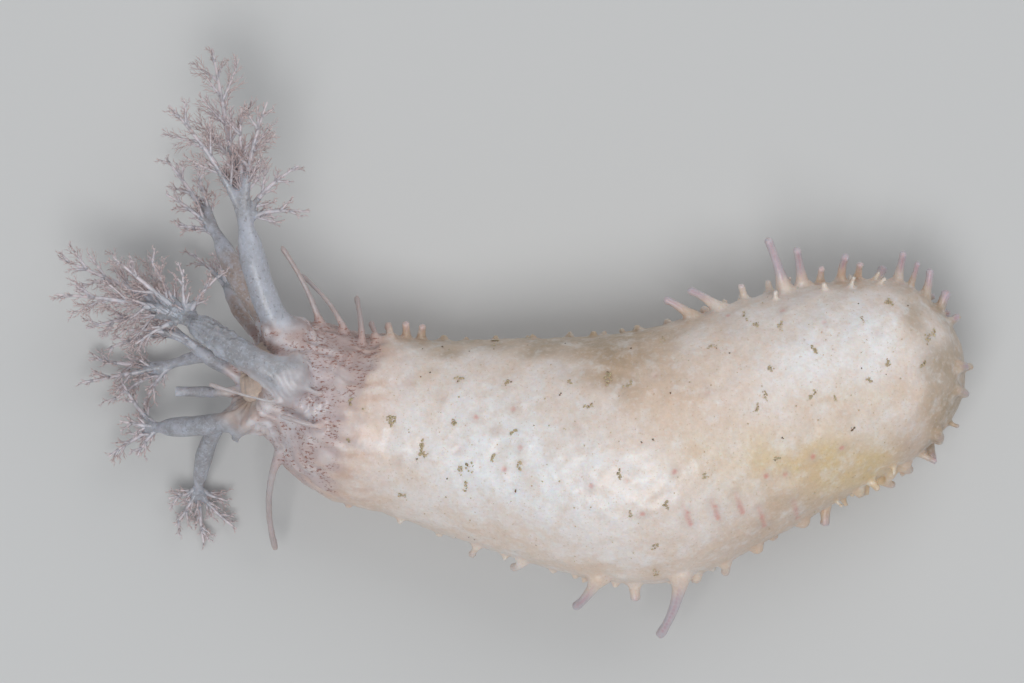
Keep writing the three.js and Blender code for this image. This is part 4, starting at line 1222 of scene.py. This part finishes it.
class BuildSkin(bpy.types.Operator):
    """Builds the one skin of trunk, introvert, tube feet and tentacle stalks"""
    bl_idname = "sea_cucumber.build_skin"
    bl_label = "Skin"

    def execute(self, context):
        looks = context.scene.cucumber_skin
        placed_feet = long_feet()
        known = placed_feet + short_feet(placed_feet)
        small = extra_feet(2600, 5, known)
        parts = [body_tube(), foot_tubes(known), foot_tubes(small, 12)] + stalk_tubes()
        points, quads, tris, _ = join(parts)
        rough = mesh_piece("skin_rough", points, quads, tris)
        remesh = rough.modifiers.new("join", "REMESH")
        remesh.mode = "VOXEL"
        remesh.voxel_size = looks.voxel * MM
        mesh = evaluated_mesh(context, rough)
        bpy.data.objects.remove(rough)
        skin = bpy.data.objects.new("skin", mesh)
        context.scene.collection.objects.link(skin)
        spots = drawn_in_spots()
        self.shape(mesh, looks.wrinkle, spots)
        faces = sum(len(p.vertices) - 2 for p in mesh.polygons)
        if faces > looks.triangles:
            thin = skin.modifiers.new("thin", "DECIMATE")
            thin.ratio = looks.triangles / faces
            final = evaluated_mesh(context, skin)
            skin.modifiers.clear()
            skin.data = final
            bpy.data.meshes.remove(mesh)
            mesh = final
        mesh.name = "skin"
        mesh.shade_smooth()
        for name, values in skin_marks(looks, points_of(mesh), spots, stem_points(known)).items():
            paint(mesh, name, values)
        mesh.materials.clear()
        mesh.materials.append(skin_material(looks, shared_groups()))
        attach(skin, "root")
        stalks = [f"tentacle_{k + 1:02d}" + ("_stalk" if t[5] else "") for k, t in enumerate(TENTACLES)]
        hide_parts(*TRUNK_NODES, *stalks)
        return {"FINISHED"}

    def shape(self, mesh, depth, spots):
        """Smooths the joined skin, most of all at the tentacles' roots and forks, then moves each vertex
        along its normal: soft lumps all over, fine creases and pleats on the introvert, a dimple in each
        drawn-in foot, and flat where the belly rests on the floor."""
        edges = np.empty(len(mesh.edges) * 2, np.int32)
        mesh.edges.foreach_get("vertices", edges)
        edges = edges.reshape(-1, 2)
        points = points_of(mesh)
        roots = closeness(points, stalk_points(-0.4, 0.3), 2.4, 4)
        forks = closeness(points, stalk_points(0.93, 1.0), 1.3, 4)
        points = relax(points, edges, np.full(len(points), 0.5), 3)
        turns = SMOOTHING_TURNS
        points = relax(points, edges, 0.75 * np.maximum(roots, 0.9 * forks), turns)
        self.store(mesh, points)
        normals = normals_of(mesh)
        x, angle, out = body_place(points)
        front = 1 - smoothstep(x, COLLAR_X - 1, COLLAR_X + 1)
        body = 1 - smoothstep(out, 0.3, 1.0)
        lumps = waves(points, 3.1, 1, 18) * 0.9 + waves(points, 1.3, 2, 18) * 0.6
        uneven = smoothstep(waves(points, 3.5, 4, 12), -0.6, 1.2)
        creases = np.sin(x * 8 + 2.4 * waves(points, 3.0, 3, 12)) * uneven
        creases *= 1 - smoothstep(x, COLLAR_X - 3.5, COLLAR_X - 1.5)
        shiny = closeness(points, SHINY_FOLDS, 1.9, 4)
        pleats = np.sin(np.radians(angle) * 26 + 1.8 * waves(points, 2.5, 6, 12))
        gap = nearest_of(points, spots[:, :3])[1]
        dimple = 0.03 * np.exp(-(gap / 0.5) ** 2) - 0.06 * np.exp(-(gap / 0.2) ** 2)
        wrinkles = lumps + front * 1.6 * (creases + pleats) * (1 - shiny)
        move = depth * body * wrinkles + dimple * body * (1 - front)
        move = move + 0.05 * shiny * fold_wave(points)
        points = points + normals * move[:, None]
        points[:, 2] = np.maximum(points[:, 2], 0.0)
        self.store(mesh, points)

    def store(self, mesh, points):
        mesh.vertices.foreach_set("co", (points * MM).astype(np.float32).ravel())
        mesh.update()


class BuildCrowns(bpy.types.Operator):
    """Builds the branched crown of each large tentacle"""
    bl_idname = "sea_cucumber.build_crowns"
    bl_label = "Crowns"

    def execute(self, context):
        looks = context.scene.cucumber_crowns
        material = crown_material(looks, shared_groups())
        for number, tentacle in enumerate(TENTACLES):
            if not tentacle[5]:
                continue
            *shape, tones = self.crown(looks, tentacle, number)
            piece = mesh_piece(f"branches_{number + 1:02d}", *shape)
            paint(piece.data, "tone", tones)
            piece.data.materials.append(material)
            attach(piece, "root")
            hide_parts(f"tentacle_{number + 1:02d}_crown")
        return {"FINISHED"}

    def crown(self, looks, tentacle, number):
        """Main branches, side twigs, twiglets and fine filaments, each order sprouting from the one
        before."""
        random = np.random.default_rng(300 + number)
        _, mains, twigs = crown_curves(tentacle, number)
        more = sprout(mains, 0.8, 0.2, random, 0.2, 0.98, (1.0, 2.8))
        second = np.concatenate([twigs, more])
        third = np.concatenate([sprout(second, 3.0, 0.4, random, 0.12, 0.94, (0.45, 1.5)),
                                sprout(mains, 2.0, 0.08, random, 0.25, 0.99, (0.5, 1.0))])
        fourth = sprout(third, 5.0, 0.5, random, 0.1, 0.92, (0.22, 0.65))
        radius = looks.twig_radius
        parts = [
            curve_tubes(second, 7, 7, radius, radius * 0.3, (0.3, 0.8)),
            curve_tubes(third, 4, 5, radius * 0.42, radius * 0.18, (0.6, 0.95)),
            curve_tubes(fourth, 3, 3, radius * 0.26, radius * 0.1, (0.85, 1.0)),
        ]
        for main, (_, length) in zip(mains, tentacle[5]):
            parts.append(curve_tubes(main[None], 18, 10, main_radius(length), radius * 0.5, (0.0, 0.55)))
        return join(parts)


class BuildDisc(bpy.types.Operator):
    """Builds the oral disc with its mouth"""
    bl_idname = "sea_cucumber.build_disc"
    bl_label = "Oral disc"

    def execute(self, context):
        looks = context.scene.cucumber_crowns
        piece, depth = self.disc()
        # The tone paints shade into the mouth's pit by its depth.
        paint(piece.data, "tone", depth)
        piece.data.materials.append(
            tone_material("mouth_disc", looks.disc_colour, looks.mouth_shade_colour, shared_groups(), 0.2))
        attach(piece, "root")
        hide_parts("oral_disc")
        return {"FINISHED"}

    def disc(self):
        """A dome whose height over the ring's plane is a cosine of the share of its radius, with radial
        folds that deepen towards a pit in the middle. A flat underside closes it."""
        rows, cols = 40, 120
        centre, side, up, out = ring_frame()
        turns = np.linspace(0, 2 * math.pi, cols, endpoint=False)
        share, turn = np.meshgrid(np.linspace(0.02, 1, rows), turns, indexing="ij")
        radius = DISC_RADIUS * 1.12 * share
        folds = np.sin(turn * 10 + 0.6 * np.sin(turn * 3)) * 0.05 * np.sin(share * math.pi) ** 0.7
        pit = PIT_DEPTH * np.exp(-(radius / (MOUTH_RADIUS * 1.2)) ** 2)
        height = 0.05 + DISC_DOME * np.cos(share * math.pi / 2) ** 0.6 + folds - pit
        height[-1] = -DISC_BASE
        flat = side * (np.cos(turn) * radius)[..., None] + up * (np.sin(turn) * radius)[..., None]
        points = (centre + flat + out * height[..., None]).reshape(-1, 3)
        top = centre + out * height[0].mean()
        base = centre - out * DISC_BASE
        points = np.concatenate([points, [top, base]])
        quads, tris = ring_faces(rows, cols)
        piece = mesh_piece("oral_disc_skin", points, quads[:, [0, 3, 2, 1]], tris[:, [1, 0, 2]])
        flip_outwards(piece.data)
        depth = np.clip(pit / PIT_DEPTH, 0, 1).ravel()
        return piece, np.concatenate([depth, [1.0, 0.0]])


def flip_outwards(mesh):
    """Turns a closed mesh's faces out where its signed volume is negative."""
    mesh.calc_loop_triangles()
    corners = np.empty(len(mesh.loop_triangles) * 3, np.int32)
    mesh.loop_triangles.foreach_get("vertices", corners)
    a, b, c = points_of(mesh)[corners.reshape(-1, 3)].transpose(1, 0, 2)
    if np.einsum("ij,ij->i", a, np.cross(b, c)).sum() < 0:
        mesh.flip_normals()


class BuildSilt(bpy.types.Operator):
    """Scatters the silt that sticks to the skin"""
    bl_idname = "sea_cucumber.build_silt"
    bl_label = "Silt"

    def execute(self, context):
        looks = context.scene.cucumber_silt
        random = np.random.default_rng(77)
        x, angle, size, dark = self.places(looks.grains, random)
        point, out, along, _ = surface_at(x, angle)
        piece = self.grains(point, out, along, size, random)
        paint(piece.data, "tone", np.repeat(dark, len(piece.data.vertices) // len(dark)))
        piece.data.materials.append(
            tone_material("settled_silt", looks.silt_colour, looks.grain_colour, shared_groups(), 0.0))
        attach(piece, "root")
        return {"FINISHED"}

    def places(self, grains, random):
        """x, angle, size and darkness of every grain: single grains spread over the wall, and for each
        crumb of the list a short random walk of touching grains."""
        rows = [np.stack([random.uniform(-19, 24, grains), random.uniform(12, 168, grains),
                          random.uniform(0.03, 0.075, grains), random.random(grains) < 0.12], 1)]
        for x, y, size, dark in CRUMBS:
            count = int(9 * size + 4) - 7 * dark
            turn = random.uniform(0, math.pi) + np.cumsum(random.normal(0, 0.7, count))
            step = 0.06 * size**0.4 * np.stack([np.cos(turn), np.sin(turn)], 1)
            walk = under_camera((x, y)) + np.cumsum(step, 0) - step.sum(0) / 2
            place = upper_place(walk + random.normal(0, 0.07 * size**0.6, (count, 2)))
            bulk = random.uniform(0.035, 0.1, count) * size**0.25
            shade = np.full(count, dark * 0.9) + 0.5 * (random.random(count) < 0.1)
            rows.append(np.stack([*place, bulk, np.minimum(shade, 1)], 1))
        return np.concatenate(rows).T

    def grains(self, point, out, along, size, random):
        """Each grain is a closed lump of three rings of six points and two poles, flattened against the
        skin and pushed out of round at random."""
        rings, sides = 3, 6
        level = np.linspace(-0.7, 0.7, rings) * math.pi / 2
        turn = np.arange(sides) * 2 * math.pi / sides
        shape = np.stack([np.outer(np.cos(level), np.cos(turn)), np.outer(np.cos(level), np.sin(turn)),
                          np.outer(np.sin(level), np.ones(sides)) * 0.35], -1).reshape(-1, 3)
        shape = np.concatenate([shape, [[0, 0, -0.4], [0, 0, 0.4]]])
        across = unit(np.cross(out, along))
        basis = np.stack([unit(np.cross(across, out)), across, out], 1)
        local = shape[None] * random.uniform(0.65, 1.4, (len(point), len(shape), 1)) * size[:, None, None]
        points = point[:, None] + out[:, None] * 0.03 + np.einsum("nkj,njc->nkc", local, basis)
        quads, tris = ring_faces(rings, sides)
        move = (np.arange(len(point)) * len(shape))[:, None, None]
        return mesh_piece("silt_grains", points.reshape(-1, 3), (quads + move).reshape(-1, 4),
                          (tris + move).reshape(-1, 3))


class BuildStage(bpy.types.Operator):
    """Sets the floor, the lights and the camera"""
    bl_idname = "sea_cucumber.build_stage"
    bl_label = "Stage"

    def execute(self, context):
        looks = context.scene.cucumber_stage
        self.floor(looks)
        self.light("key", (-0.08, -0.26, 0.7), 0.4, looks.key_strength)
        self.light("fill", (0.3, 0.45, 0.5), 0.6, looks.fill_strength)
        world = bpy.data.worlds.new("studio")
        world.use_nodes = True
        background = world.node_tree.nodes["Background"]
        background.inputs["Color"].default_value = (0.9, 0.95, 1.0, 1.0)
        background.inputs["Strength"].default_value = 0.35
        context.scene.world = world
        context.scene.view_settings.view_transform = "Standard"
        data = bpy.data.cameras.new("camera")
        data.sensor_width = SENSOR
        data.lens = LENS
        data.clip_start = 0.01
        data.clip_end = 10.0
        camera = bpy.data.objects.new("camera", data)
        camera.location = (PICTURE_MIDDLE[0] * MM, PICTURE_MIDDLE[1] * MM, CAMERA_HEIGHT * MM)
        context.scene.collection.objects.link(camera)
        context.scene.camera = camera
        return {"FINISHED"}

    def floor(self, looks):
        """A large flat square at floor level."""
        corners = FLOOR_HALF * np.array([[-1, -1, 0], [1, -1, 0], [1, 1, 0], [-1, 1, 0]])
        floor = mesh_piece("floor", corners, np.array([[0, 1, 2, 3]]), np.empty((0, 3), int), smooth=False)
        material = bpy.data.materials.new("floor")
        material.use_nodes = True
        shader = material.node_tree.nodes["Principled BSDF"]
        shader.inputs["Base Color"].default_value = (*looks.floor_colour[:], 1.0)
        shader.inputs["Roughness"].default_value = 0.9
        floor.data.materials.append(material)

    def light(self, name, place, size, power):
        """A square area light that faces the object."""
        data = bpy.data.lights.new(name, "AREA")
        data.shape = "SQUARE"
        data.size = size
        data.energy = power
        lamp = bpy.data.objects.new(name, data)
        lamp.location = place
        away = np.array(place)
        flat = math.hypot(away[0], away[1])
        lamp.rotation_euler = (math.atan2(flat, away[2]), 0, math.atan2(away[1], away[0]) + math.pi / 2)
        lamp.visible_camera = False
        bpy.context.scene.collection.objects.link(lamp)


class CucumberPanel(bpy.types.Panel):
    """Lists the steps that build the model"""
    bl_idname = "VIEW3D_PT_sea_cucumber"
    bl_label = "Sea cucumber"
    bl_space_type = "VIEW_3D"
    bl_region_type = "UI"
    bl_category = "Sea cucumber"

    def draw(self, context):
        for step in STEPS:
            self.layout.operator(step.bl_idname)


STEPS = (BuildSkin, BuildCrowns, BuildDisc, BuildSilt, BuildStage)
LOOKS = (
    ("cucumber_skin", SkinLooks),
    ("cucumber_crowns", CrownLooks),
    ("cucumber_silt", SiltLooks),
    ("cucumber_stage", StageLooks),
)


def register():
    for name, looks in LOOKS:
        bpy.utils.register_class(looks)
        setattr(bpy.types.Scene, name, PointerProperty(type=looks))
    for step in STEPS:
        bpy.utils.register_class(step)
    bpy.utils.register_class(CucumberPanel)


def unregister():
    bpy.utils.unregister_class(CucumberPanel)
    for step in reversed(STEPS):
        bpy.utils.unregister_class(step)
    for name, looks in reversed(LOOKS):
        delattr(bpy.types.Scene, name)
        bpy.utils.unregister_class(looks)


def main():
    register()
    bpy.ops.sea_cucumber.build_skin()
    bpy.ops.sea_cucumber.build_crowns()
    bpy.ops.sea_cucumber.build_disc()
    bpy.ops.sea_cucumber.build_silt()
    bpy.ops.sea_cucumber.build_stage()
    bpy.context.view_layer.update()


if __name__ == "__main__":
    main()
